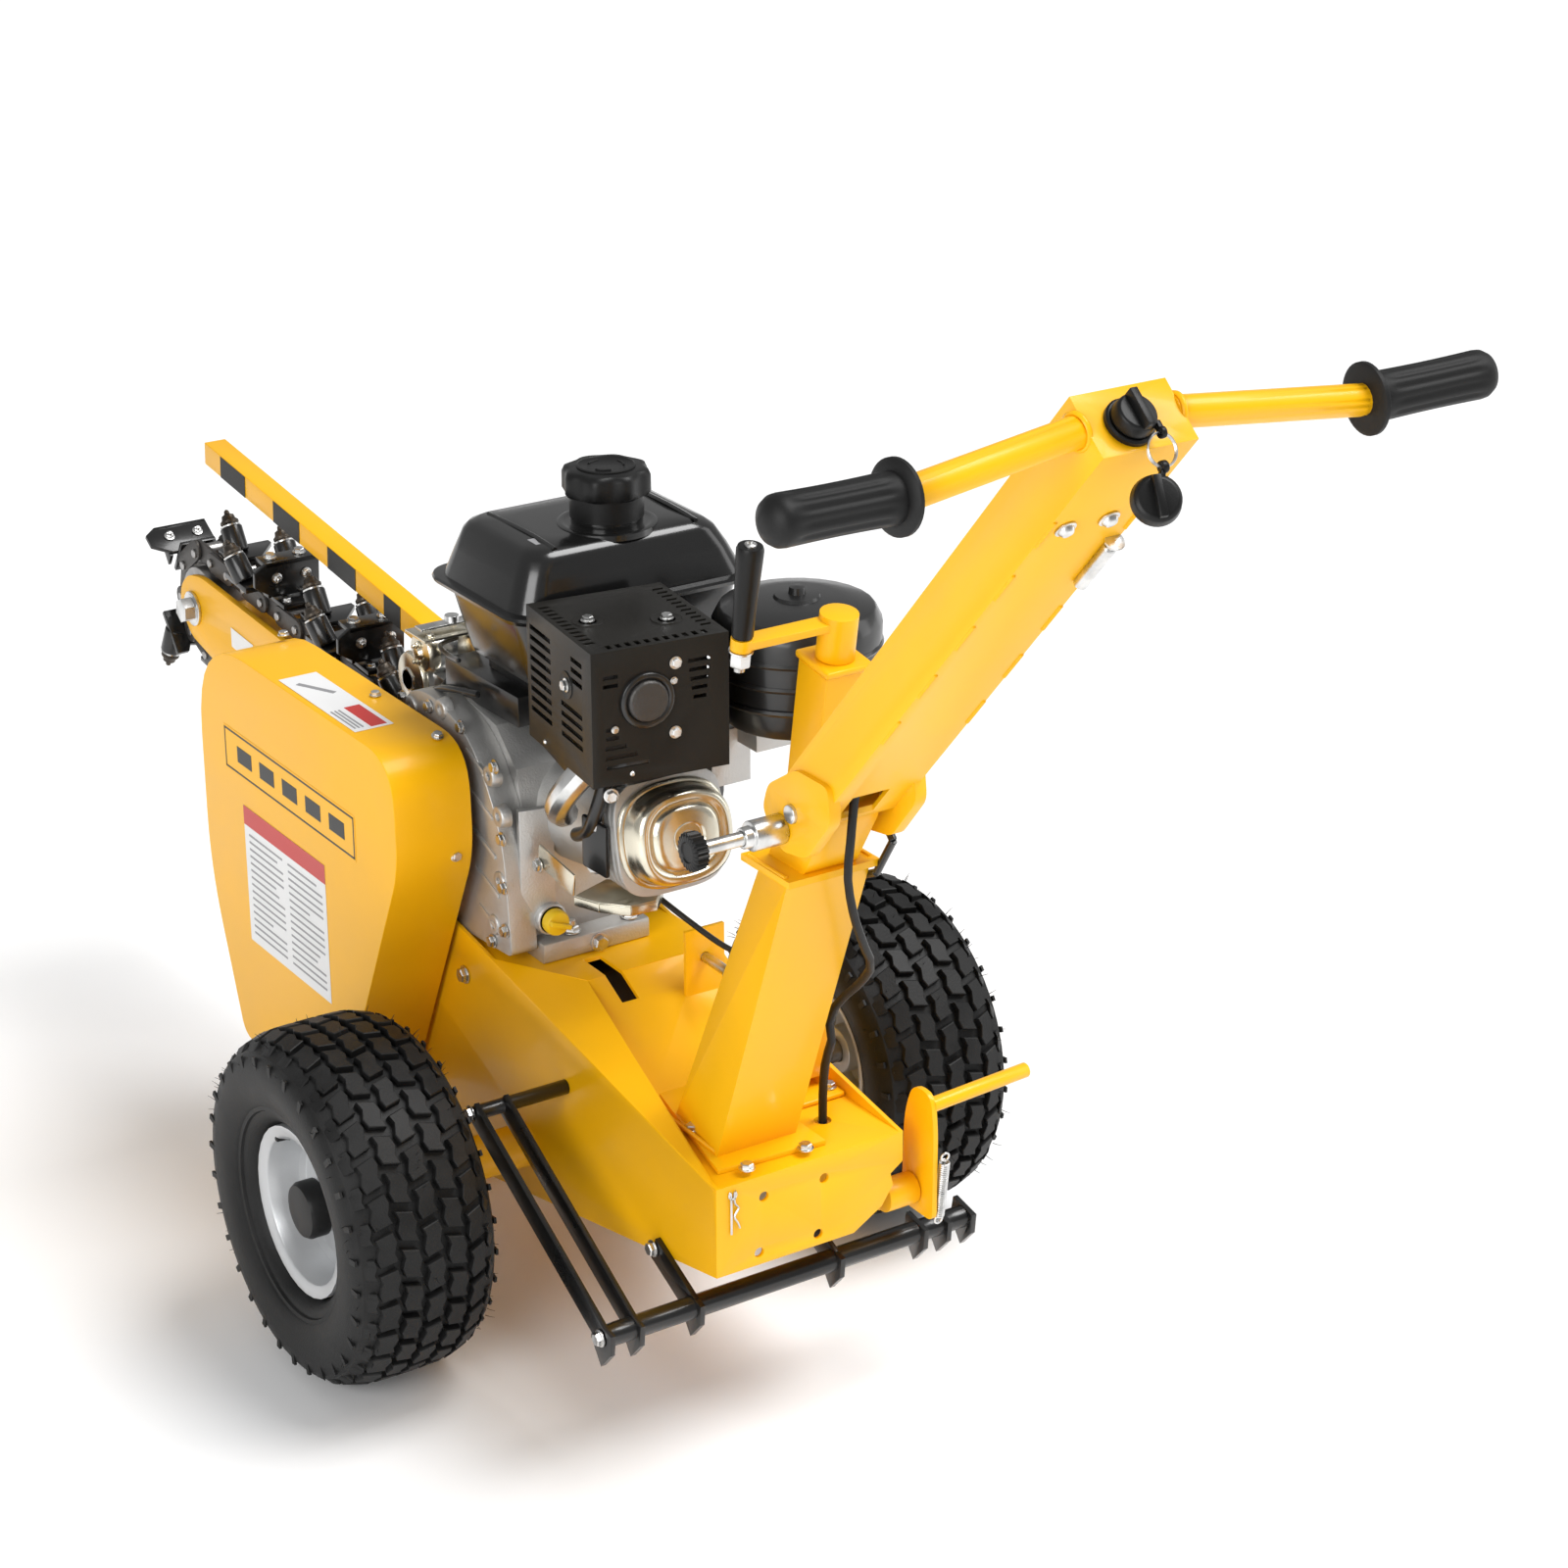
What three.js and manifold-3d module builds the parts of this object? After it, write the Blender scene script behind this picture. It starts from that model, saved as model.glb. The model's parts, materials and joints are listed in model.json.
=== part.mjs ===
// Walk-behind trencher: a two-wheeled yellow frame with a 420 cc engine, a belt drive, a
// digging-chain boom ahead of the axle, and a folding handle column behind it.
// Millimetres, +Z up, +X ahead of the machine, +Y to the operator's left.
// The model is laid out from a point on the ground under the axle and shifted at the end.
import * as THREE from "three";
import { mergeVertices } from "three/addons/utils/BufferGeometryUtils.js";
import Module from "manifold-3d";

const wasm = await Module();
wasm.setup();

// ---------- driving dimensions ----------
const GAP = 0.3; // clearance between pieces that touch
const SLIVER = 0.01; // edges shorter than this are closed up where the chassis plates meet
const ORIGIN_X = 60.9; // from the axle to the middle of the whole machine's length

const TYRE_R = 168;
const TYRE_HALF_W = 72;
const TRACK_HALF = 283;
const RIM_R = 82;
const AXLE_R = 12;

const FRAME_HALF = 98; // half width of the chassis box
const SHEET = 4;
const TAIL_X = -334;
const TAIL_TOP = 273;
const TAIL_BOTTOM = 186;
const SHELF_X = -153; // where the tail's top plate meets the ramp
const DECK_X = -29; // where the ramp meets the engine deck
const DECK_Z = 336;
const DECK_END = 232;

const SHAFT = { x: 365, z: 403 }; // drive shaft, which is also the boom's hinge
const SHAFT_R = 15;
const NOSE = { x: 841, z: 436 };
const BOOM_HALF = 33; // half width over the boom's side plates
const CHAIN_HALF = 24;
const SPROCKET_R = 46;
const CHAIN_T = 26;
// Places along the chain, from the drive shaft over the top: cutter plate, pair of teeth, middle tooth.
const PATTERNS = [
  [105, 167, 233], [297, 359, 432], [556, 645, 700], [810, 872, 940], [1070, 1132, 1180], [1330, 1412, 58],
];

const CRANK = { x: 140, z: 470 }; // engine crankshaft
const COLUMN_Y = 30; // both column pieces stand a little left of the centre line
const COLUMN_HALF = 42;
const TILT = { x: -419, z: 650 }; // hinge of the upper column
const COLUMN_TOP = { x: -774, z: 1062 };
const SWITCH = { y: 38, drop: 4 }; // its axis, and how far it sits under the column's middle
const LOCK = { x: -404, z: 632 }; // spring pin that holds the upper column
const HANDLE_R = 12;

const GUARD_IN = 103.5; // belt guard, from its open side to its face
const GUARD_OUT = 183;

const POST_Y = -62; // crank post
const BAR = { x: -300, z: 142, r: 10.5, half: 195 }; // rear anchor bar
const PEDAL_Y = -126;
const PEDAL = { x: -314, z: 200 }; // pivot of the lock pedal
const CABLE_HOLE = { x: -278, y: -50 };

// ---------- materials ----------
const paint = (color, roughness, metalness) =>
  new THREE.MeshStandardMaterial({ color, roughness, metalness });
const YELLOW = paint(0xf9ab05, 0.35, 0.05);
const BLACK_PAINT = paint(0x101010, 0.3, 0.1);
const BLACK_SATIN = paint(0x17150f, 0.55, 0.1);
const RUBBER = paint(0x141414, 0.85, 0);
const PLASTIC = paint(0x0d0d0d, 0.4, 0);
const ZINC = paint(0xb9bcc0, 0.35, 0.9);
const STEEL = paint(0x8f9194, 0.4, 0.9);
const CAST = paint(0x8d8b86, 0.6, 0.7);
const RIM_PAINT = paint(0xa9adb2, 0.45, 0.6);
const GOLD = paint(0xcfc08a, 0.3, 0.8);
const YELLOW_PLASTIC = paint(0xe8b21c, 0.5, 0);

// ---------- solids ----------
const deg = (a) => (a * Math.PI) / 180;
const v3 = (x, y, z) => new THREE.Vector3(x, y, z);

function solid(geometry) {
  const g = geometry.clone();
  g.deleteAttribute("normal");
  g.deleteAttribute("uv");
  const merged = mergeVertices(g, 1e-3);
  return new wasm.Manifold(
    new wasm.Mesh({
      numProp: 3,
      vertProperties: new Float32Array(merged.attributes.position.array),
      triVerts: new Uint32Array(merged.index.array),
    }),
  );
}

const join = (...solids) => solids.reduce((a, b) => a.add(b));
const cut = (from, ...tools) => tools.reduce((a, b) => a.subtract(b), from);

function geometryOf(manifold) {
  const m = manifold.getMesh();
  const positions = new Float32Array(m.numVert * 3);
  for (let i = 0; i < m.numVert; i++) {
    positions.set(m.vertProperties.subarray(i * m.numProp, i * m.numProp + 3), i * 3);
  }
  return new THREE.BufferGeometry()
    .setAttribute("position", new THREE.BufferAttribute(positions, 3))
    .setIndex(new THREE.BufferAttribute(m.triVerts, 1));
}

function block(x0, x1, y0, y1, z0, z1) {
  const g = new THREE.BoxGeometry(x1 - x0, y1 - y0, z1 - z0);
  return solid(g.translate((x0 + x1) / 2, (y0 + y1) / 2, (z0 + z1) / 2));
}

// A shape drawn in x and z, thick from y0 to y1.
function plate(shape, y0, y1, curveSegments = 8) {
  const g = new THREE.ExtrudeGeometry(shape, { depth: y1 - y0, bevelEnabled: false, curveSegments });
  g.rotateX(Math.PI / 2);
  return solid(g.translate(0, y1, 0));
}

function outline(points) {
  return new THREE.Shape(points.map(([x, z]) => new THREE.Vector2(x, z)));
}

// A closed outline whose corners are rounded, each by its own radius.
function rounded(points, radius) {
  const shape = new THREE.Shape();
  const count = points.length;
  points.forEach(([x, z, own], i) => {
    const here = new THREE.Vector2(x, z);
    const before = new THREE.Vector2(...points[(i + count - 1) % count].slice(0, 2)).sub(here);
    const after = new THREE.Vector2(...points[(i + 1) % count].slice(0, 2)).sub(here);
    const r = Math.min(own ?? radius, 0.45 * before.length(), 0.45 * after.length());
    const a = here.clone().add(before.setLength(r));
    const b = here.clone().add(after.setLength(r));
    if (i === 0) shape.moveTo(a.x, a.y);
    else shape.lineTo(a.x, a.y);
    shape.quadraticCurveTo(here.x, here.y, b.x, b.y);
  });
  shape.closePath();
  return shape;
}

// A round bar from one point to another.
function rod(from, to, radius, sides = 20, endRadius = radius) {
  const span = to.clone().sub(from);
  const g = new THREE.CylinderGeometry(endRadius, radius, span.length(), sides);
  g.applyQuaternion(new THREE.Quaternion().setFromUnitVectors(v3(0, 1, 0), span.clone().normalize()));
  const middle = from.clone().add(to).multiplyScalar(0.5);
  return solid(g.translate(middle.x, middle.y, middle.z));
}

const crossRod = (x, z, y0, y1, radius, sides = 20) => rod(v3(x, y0, z), v3(x, y1, z), radius, sides);

const crossRodX = (y, z, x0, x1, radius, sides = 16) => rod(v3(x0, y, z), v3(x1, y, z), radius, sides);

// A profile of [radius, y] pairs turned about the line x, z along Y.
function turned(profile, x, z, sides = 32) {
  const points = profile.map(([r, y]) => new THREE.Vector2(r, y));
  if (THREE.ShapeUtils.isClockWise(points)) {
    points.reverse();
  }
  const g = new THREE.LatheGeometry(points, sides, Math.PI / sides);
  return solid(g.translate(x, 0, z));
}

// A solid between two convex polygons with the same number of corners.
function prism(upper, lower) {
  const n = upper.length;
  const index = [];
  for (let i = 1; i < n - 1; i++) {
    index.push(0, i, i + 1, n, n + i + 1, n + i);
  }
  for (let i = 0; i < n; i++) {
    const j = (i + 1) % n;
    index.push(i, n + i, j, j, n + i, n + j);
  }
  const g = new THREE.BufferGeometry();
  g.setAttribute("position", new THREE.Float32BufferAttribute([...upper, ...lower].flat(), 3));
  g.setIndex(index);
  return solid(g);
}

// A flat sheet with the given convex corners, thickened away from its upper side.
function sheet(corners, thickness) {
  const [p, q, r] = corners.map((c) => v3(...c));
  const push = q.clone().sub(p).cross(r.clone().sub(p)).normalize().multiplyScalar(thickness);
  return prism(corners, corners.map((c) => v3(...c).sub(push).toArray()));
}

// A round section swept along a smooth curve through the points.
function sweep(points, radius, sides, steps) {
  const section = new THREE.Shape();
  for (let i = 0; i < sides; i++) {
    const a = (i / sides) * 2 * Math.PI;
    if (i === 0) section.moveTo(radius, 0);
    else section.lineTo(radius * Math.cos(a), radius * Math.sin(a));
  }
  section.closePath();
  const path = new THREE.CatmullRomCurve3(points.map((p) => v3(...p)));
  return solid(new THREE.ExtrudeGeometry(section, { steps, bevelEnabled: false, extrudePath: path }));
}

const machine = new THREE.Group();
function place(name, manifold, material, parent = machine) {
  const mesh = new THREE.Mesh(geometryOf(manifold), material);
  mesh.name = name;
  parent.add(mesh);
  return mesh;
}

// ---------- chassis ----------
function sidePlate(y0, y1) {
  const shape = outline([
    [TAIL_X, TAIL_BOTTOM], [75, 99], [150, 92], [300, 165], [440, 350], [452, 400],
    [440, 452], [400, 470], [330, 470], [250, 366], [60, 337], [TAIL_X, TAIL_TOP],
  ]);
  return plate(shape, y0, y1);
}

function tailFace() {
  const half = FRAME_HALF;
  const shape = outline([
    [-half, 268], [-half, 243], [-half + 13, 234], [-half + 10, 222], [-half + 22, 204],
    [-46, TAIL_BOTTOM], [half, TAIL_BOTTOM], [half, TAIL_TOP], [-half, TAIL_TOP],
  ]);
  for (const [y, z] of [[49, 252], [-14, 251], [54, 198], [-8, 197]]) {
    shape.holes.push(new THREE.Path().absarc(y, z, 5, 0, 2 * Math.PI, true));
  }
  const g = new THREE.ExtrudeGeometry(shape, { depth: SHEET, bevelEnabled: false, curveSegments: 6 });
  g.rotateX(Math.PI / 2);
  g.rotateZ(Math.PI / 2);
  return solid(g.translate(TAIL_X, 0, 0));
}

function chassis() {
  const half = FRAME_HALF;
  const left = sidePlate(half - SHEET, half);
  const cornerCut = block(TAIL_X - 1, TAIL_X + 30, -half - 1, -half + 13, 100, 243);
  const right = cut(sidePlate(-half, -half + SHEET), cornerCut);
  const shelf = sheet([
    [TAIL_X, -half, TAIL_TOP], [SHELF_X, -half, TAIL_TOP], [SHELF_X, 51, TAIL_TOP], [TAIL_X, half, TAIL_TOP],
  ], SHEET);
  const ramp = sheet([
    [SHELF_X - 1, -half, TAIL_TOP - 0.5], [DECK_X, -half, DECK_Z],
    [DECK_X, 45, DECK_Z], [SHELF_X - 1, 51, TAIL_TOP - 0.5],
  ], SHEET);
  const hip = sheet([
    [TAIL_X, half - 2, TAIL_TOP - 0.3], [SHELF_X, 49, TAIL_TOP - 0.3], [DECK_X, 45, DECK_Z - 0.5],
  ], SHEET);
  const hipFront = sheet([
    [TAIL_X, half, TAIL_TOP], [DECK_X, 45, DECK_Z - 0.5], [60, half, 337],
  ], SHEET);
  const deck = sheet([
    [DECK_X - 1, -half, DECK_Z], [DECK_END, -half, DECK_Z], [DECK_END, half, DECK_Z],
    [60, half, DECK_Z], [DECK_X - 1, 45, DECK_Z],
  ], SHEET);
  const axleTube = crossRod(0, TYRE_R, -TRACK_HALF + 98, TRACK_HALF - 98, 21, 20);
  const tray = join(
    block(0, 160, -60, 60, 226, 229),
    block(0, 160, -60, -57, 228, DECK_Z - 2),
    block(0, 160, 57, 60, 228, DECK_Z - 2),
  );
  const tensionTab = block(-72, -68, -78, -36, 306, DECK_Z + 44);
  const slot = plate(rounded([[-60, 290], [10, 290], [10, 350], [-60, 350]], 8), 8, 26);
  const bore = crossRod(0, TYRE_R, -TRACK_HALF, TRACK_HALF, AXLE_R + GAP, 24);
  const boltHole = crossRodX(-57, 350, -80, -60, 5.2);
  const cableHole = rod(v3(CABLE_HOLE.x, CABLE_HOLE.y, 260), v3(CABLE_HOLE.x, CABLE_HOLE.y, 280), 8, 16);
  const pedalBoss = crossRod(PEDAL.x, PEDAL.z, PEDAL_Y + 4, -half + 8, 15, 20);
  const pedalPin = crossRod(PEDAL.x, PEDAL.z, PEDAL_Y - 14, -half + 8, 6, 16);
  const shaftBore = crossRod(SHAFT.x, SHAFT.z, -half - 5, half + 5, 27, 24);
  const skins = join(left, right, tailFace(), shelf, ramp, hip, hipFront, deck);
  const fittings = join(axleTube, tray, tensionTab, pedalBoss, pedalPin);
  return cut(join(skins, fittings), slot, bore, shaftBore, boltHole, cableHole).simplify(SLIVER);
}
place("chassis", chassis(), YELLOW);

place("battery", block(6, 154, -45, 45, 229.3, 318), PLASTIC);

// The leg frame that holds the nose of the machine up when it is parked.
function parkingStand() {
  const legs = [-1, 1].map((side) => {
    const inner = side * (FRAME_HALF + GAP);
    const outer = side * (FRAME_HALF + 5);
    return block(245, 280, Math.min(inner, outer), Math.max(inner, outer), 12, 320);
  });
  const foot = block(235, 290, -FRAME_HALF - 40, FRAME_HALF + 40, 0, 12);
  return join(...legs, foot);
}
place("parking_stand", parkingStand(), YELLOW);

// ---------- wheels ----------
// Radii and offsets of one tyre's section, from the inner bead round the tread to the outer bead.
// The tread's flats, not its corners, lie on the tyre's radius, so the wheel stands on a flat.
const WHEEL_SIDES = 32;
const TREAD_R = TYRE_R / Math.cos(Math.PI / WHEEL_SIDES);
function tyreProfile() {
  const w = TYRE_HALF_W;
  return [
    [RIM_R, -48], [92, -58], [134, -w], [158, -63], [TREAD_R, -34], [TREAD_R, 34], [158, 63], [134, w],
    [92, 58], [RIM_R, 48], [RIM_R, 40], [RIM_R + 8, 30], [RIM_R + 8, -30], [RIM_R, -40], [RIM_R, -48],
  ];
}

// The pressed wheel: two flanges, a barrel and a dish, with a hub through it.
function rimProfile() {
  const face = 14;
  const bore = AXLE_R + GAP;
  const wall = RIM_R - GAP;
  return [
    [bore, -30], [24, -30], [24, face - 3], [60, face - 3], [66, 38], [RIM_R - 12, 50], [wall, 54],
    [wall, 40.2], [wall + 8, 30.2], [wall + 8, -30.2], [wall, -40.2], [wall, -54], [RIM_R - 12, -50],
    [RIM_R - 6, -26], [62, 22], [60, face + 1], [25, face + 1], [25, 32], [bore, 32], [bore, -30],
  ];
}

function mirrorY(profile) {
  return profile.map(([r, y]) => [r, -y]).reverse();
}

for (const [side, sign] of [["left", 1], ["right", -1]]) {
  const wheel = new THREE.Group();
  wheel.position.set(0, sign * TRACK_HALF, TYRE_R);
  machine.add(wheel);
  const rim = sign > 0 ? rimProfile() : mirrorY(rimProfile());
  place(`tyre_${side}`, turned(tyreProfile(), 0, 0, WHEEL_SIDES), RUBBER, wheel);
  place(`rim_${side}`, turned(rim, 0, 0, WHEEL_SIDES), RIM_PAINT, wheel);
}
place("axle", crossRod(0, TYRE_R, -TRACK_HALF - 32, TRACK_HALF + 32, AXLE_R, 24), STEEL);

// ---------- drive shaft, belt drive and guard ----------
function grooved(outer, groove, half) {
  return [[0, -half], [outer, -half], [groove, 0], [outer, half], [0, half]];
}

function drivePulley() {
  const y = 140;
  const sheave = turned(grooved(38, 29, 12).map(([r, v]) => [r, v + y]), CRANK.x, CRANK.z, 22);
  return join(sheave, crossRod(CRANK.x, CRANK.z, 62, y + 20, 12.5, 20));
}
place("crankshaft_pulley", drivePulley(), STEEL);

function drivenPulley() {
  const y = 140;
  const bore = SHAFT_R + GAP;
  const ring = [[98, -12], [116, -12], [107, 0], [116, 12], [98, 12], [98, 4], [40, 4], [40, 14],
    [bore, 14], [bore, -14], [40, -14], [40, -4], [98, -4], [98, -12]];
  return turned(ring.map(([r, v]) => [r, v + y]), SHAFT.x, SHAFT.z, 24);
}
place("driven_pulley", drivenPulley(), CAST);
place("drive_shaft", crossRod(SHAFT.x, SHAFT.z, -118, 162, SHAFT_R, 24), STEEL);

// The belt runs round both pulleys on a path of two arcs and two tangents.
function beltLoop(inner) {
  const small = 39 + inner;
  const large = 116.6 + inner;
  const dx = SHAFT.x - CRANK.x;
  const dz = SHAFT.z - CRANK.z;
  const lean = Math.atan2(dz, dx);
  const open = Math.acos((small - large) / Math.hypot(dx, dz));
  const shape = new THREE.Shape();
  shape.absarc(CRANK.x, CRANK.z, small, lean + open, lean - open + 2 * Math.PI, false);
  shape.absarc(SHAFT.x, SHAFT.z, large, lean - open, lean + open, false);
  return shape;
}
place("drive_belt", cut(plate(beltLoop(7), 135, 145, 10), plate(beltLoop(0), 134, 146, 10)), RUBBER);

for (const [side, sign] of [["left", 1], ["right", -1]]) {
  const bore = SHAFT_R + GAP;
  const flange = [[bore, 68], [40, 68], [40, 80], [26, 80], [26, 93.7], [bore, 93.7], [bore, 68]];
  place(`shaft_bearing_${side}`, turned(sign > 0 ? flange : mirrorY(flange), SHAFT.x, SHAFT.z, 20), CAST);
}

function guardOutline(inset) {
  const low = 122 + inset;
  const top = 548 - inset;
  const back = 74 + inset;
  const front = 497 - inset;
  return rounded([
    [back + 4, top, 72], [front, top, 110], [front, 290, 60],
    [front - 60, low, 18], [back + 150, low, 18], [back, 440, 30],
  ], 20);
}

function beltGuard() {
  const shell = plate(guardOutline(0), GUARD_IN, GUARD_OUT, 8);
  const hollow = plate(guardOutline(2.5), GUARD_IN - 1, GUARD_OUT - 2.5, 8);
  return cut(shell, hollow);
}
place("belt_guard", beltGuard(), YELLOW);

// ---------- engine ----------
const HEAD_Y = -4;
const HEAD_TILT = deg(10);
const BASE_TOP = DECK_Z + 20;

function crankcase() {
  const under = DECK_Z + GAP;
  const base = plate(rounded([[20, under], [250, under], [250, BASE_TOP], [20, BASE_TOP]], 3), -52, 62, 2);
  const shape = outline([
    [44, BASE_TOP - 2], [236, BASE_TOP - 2], [240, 500], [205, 552],
    [150, 560], [96, 552], [60, 520], [40, 440],
  ]);
  const body = plate(shape, -54, 64);
  const barrel = cut(
    rod(v3(90, HEAD_Y, 465.5), v3(-102, HEAD_Y, 499.3), 54, 24),
    block(20, 110, -80, -54, 380, 560),
  );
  const filler = crossRodX(50, 378, 24, 60, 13.8, 20);
  const solidBody = join(base, body, barrel, filler);
  return cut(solidBody, crossRod(CRANK.x, CRANK.z, 60, 66, 13, 20));
}

function sideCover() {
  const shape = rounded([
    [28, 348, 8], [120, 341, 8], [228, 352, 20], [238, 470, 60],
    [222, 552, 30], [178, 566, 20], [96, 548, 40], [40, 470, 50],
  ], 20);
  const cover = plate(shape, 64.3, 92, 6);
  return cut(cover, crossRod(CRANK.x, CRANK.z, 60, 95, 12.8, 20));
}
place("crankcase", crankcase(), CAST);
place("side_cover", sideCover(), CAST);

const FUEL_CAP = { x: 51, y: -33 };

// The cylinder head's pressed cover and the casting behind it face the operator.
function valveCover() {
  const profile = [[0, 0], [58, 0], [58, 5], [51, 7], [48, 24], [42, 30], [0, 32]];
  const lathe = new THREE.LatheGeometry(profile.map(([r, y]) => new THREE.Vector2(r, y)), 28);
  lathe.scale(0.88, 1, 1);
  lathe.rotateX(Math.PI / 2);
  lathe.rotateY(HEAD_TILT - Math.PI / 2);
  return solid(lathe.translate(-102.6, HEAD_Y, 500));
}

// Muffler with its perforated guard, turned a little about the vertical.
const MUFFLER = { x: -89, y: 34, z: 638 };
function mufflerGroup() {
  const group = new THREE.Group();
  group.position.set(MUFFLER.x, MUFFLER.y, MUFFLER.z);
  group.rotation.z = deg(-7);
  machine.add(group);
  const shell = cut(block(-76, 66, -65, 65, -52, 72), block(-74, 64, -63, 63, -53, 70));
  const outletHole = rod(v3(-80, 13, 22), v3(-70, 13, 22), 20.3, 24);
  place("muffler_guard", cut(shell, outletHole), BLACK_SATIN, group);
  const can = block(-62, 54, -52, 54, -40, 56);
  const outlet = rod(v3(-82, 13, 22), v3(-60, 13, 22), 19, 20);
  place("muffler", join(can, outlet), STEEL, group);
}
mufflerGroup();

// The exhaust pipe leaves the head on the left and bends up into the muffler.
function exhaustPipe() {
  const route = [
    [-36, 68, 512], [-46, 80, 520], [-60, 86, 536], [-74, 82, 556], [-82, 70, 572], [-86, 58, 586],
  ];
  return sweep(route, 13, 10, 10);
}
place("exhaust_pipe", exhaustPipe(), ZINC);

function fuelTank() {
  const flangeZ = 685;
  const rim = rounded([[-14, -165], [171, -165], [171, 98], [-14, 98]], 26);
  const lip = new THREE.ExtrudeGeometry(rim, { depth: 3, bevelEnabled: false, curveSegments: 6 });
  const flange = solid(lip.translate(0, 0, flangeZ - 3));
  const upper = new THREE.BoxGeometry(165, 243, 60, 1, 1, 1);
  taper(upper, 30, 0.84, 0.76, -2, 8);
  const top = solid(upper.translate(78.5, -33.5, flangeZ + 29));
  const lower = new THREE.BoxGeometry(160, 236, 70, 1, 1, 1);
  taper(lower, -35, 0.86, 0.82, 0, 0);
  const bottom = solid(lower.translate(78.5, -33.5, flangeZ - 37));
  const neck = rod(v3(FUEL_CAP.x, FUEL_CAP.y, 740), v3(FUEL_CAP.x, FUEL_CAP.y, 752), 31, 24);
  return join(flange, top, bottom, neck);
}

// Draws one end of a box in towards its middle and shifts it.
function taper(geometry, endZ, scaleX, scaleY, shiftX, shiftY) {
  const p = geometry.attributes.position;
  for (let i = 0; i < p.count; i++) {
    if (Math.abs(p.getZ(i) - endZ) < 1) {
      p.setX(i, p.getX(i) * scaleX + shiftX);
      p.setY(i, p.getY(i) * scaleY + shiftY);
    }
  }
}

place("valve_cover", valveCover(), GOLD);
place("fuel_tank", fuelTank(), PLASTIC);

function fuelCap() {
  const lobes = new THREE.Shape();
  const steps = 40;
  for (let i = 0; i < steps; i++) {
    const a = (i / steps) * 2 * Math.PI;
    const r = 39.5 + 1.6 * Math.cos(8 * a);
    if (i === 0) lobes.moveTo(FUEL_CAP.x + r, FUEL_CAP.y);
    else lobes.lineTo(FUEL_CAP.x + r * Math.cos(a), FUEL_CAP.y + r * Math.sin(a));
  }
  lobes.closePath();
  const disc = new THREE.ExtrudeGeometry(lobes, { depth: 24, bevelEnabled: false });
  const head = solid(disc.translate(0, 0, 774));
  const skirt = rod(v3(FUEL_CAP.x, FUEL_CAP.y, 752.3), v3(FUEL_CAP.x, FUEL_CAP.y, 776), 34, 32);
  return join(head, skirt);
}
place("fuel_cap", fuelCap(), PLASTIC);

function airCleaner() {
  const profile = [[0, 0], [66, 0], [70, 12], [76, 34], [77, 92], [70, 106], [40, 112], [0, 113]];
  const lathe = new THREE.LatheGeometry(profile.map(([r, z]) => new THREE.Vector2(r, z)), 28);
  lathe.rotateX(Math.PI / 2);
  return solid(lathe.translate(-118, -128, 592));
}
place("air_cleaner", airCleaner(), PLASTIC);

function carburettor() {
  const bowl = block(-78, -6, -104, -62, 520, 574);
  const elbow = block(-110, -70, -150, -90, 560, 591.7);
  const flange = block(-30, 26, -80, -61, 520, 548);
  return join(bowl, elbow, flange);
}
place("carburettor", carburettor(), CAST);

function recoilHousing() {
  const profile = [
    [0, -168], [46, -168], [52, -160], [104, -148], [112, -136], [112, -62], [106, -54.6], [0, -54.6],
  ];
  return turned(profile, CRANK.x, CRANK.z, 28);
}
place("recoil_housing", recoilHousing(), PLASTIC);

function recoilHandle() {
  return join(block(28, 38, -150, -118, 566, 578), rod(v3(39, -134, 572), v3(48, -134, 566), 5, 12));
}
place("recoil_handle", recoilHandle(), PLASTIC);

function starterMotor() {
  const body = crossRod(288, 534, -54, 46, 27, 24);
  const boss = crossRod(288, 534, 44, 56, 12, 6);
  const mount = block(240.4, 280, -54, 40, 500, 545);
  const solenoid = crossRod(270, 566, -40, 46, 21, 20);
  return join(body, boss, mount, solenoid);
}
place("starter_motor", starterMotor(), ZINC);


place("oil_dipstick", crossRodX(50, 378, 9, 23.7, 12.5, 20), YELLOW_PLASTIC);

function throttleLever() {
  return join(block(214, 228, 24, 76, 609.4, 612), rod(v3(221, 40, 611), v3(221, 40, 618), 7, 16));
}
place("throttle_lever", throttleLever(), ZINC);

// ---------- boom ----------
const boomLength = Math.hypot(NOSE.x - SHAFT.x, NOSE.z - SHAFT.z);
const boomLean = Math.atan2(NOSE.z - SHAFT.z, NOSE.x - SHAFT.x);

// The boom's own frame: x along it from the drive shaft, z out of its top.
const boom = new THREE.Group();
boom.position.set(SHAFT.x, 0, SHAFT.z);
boom.rotation.y = -boomLean;
machine.add(boom);

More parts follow.
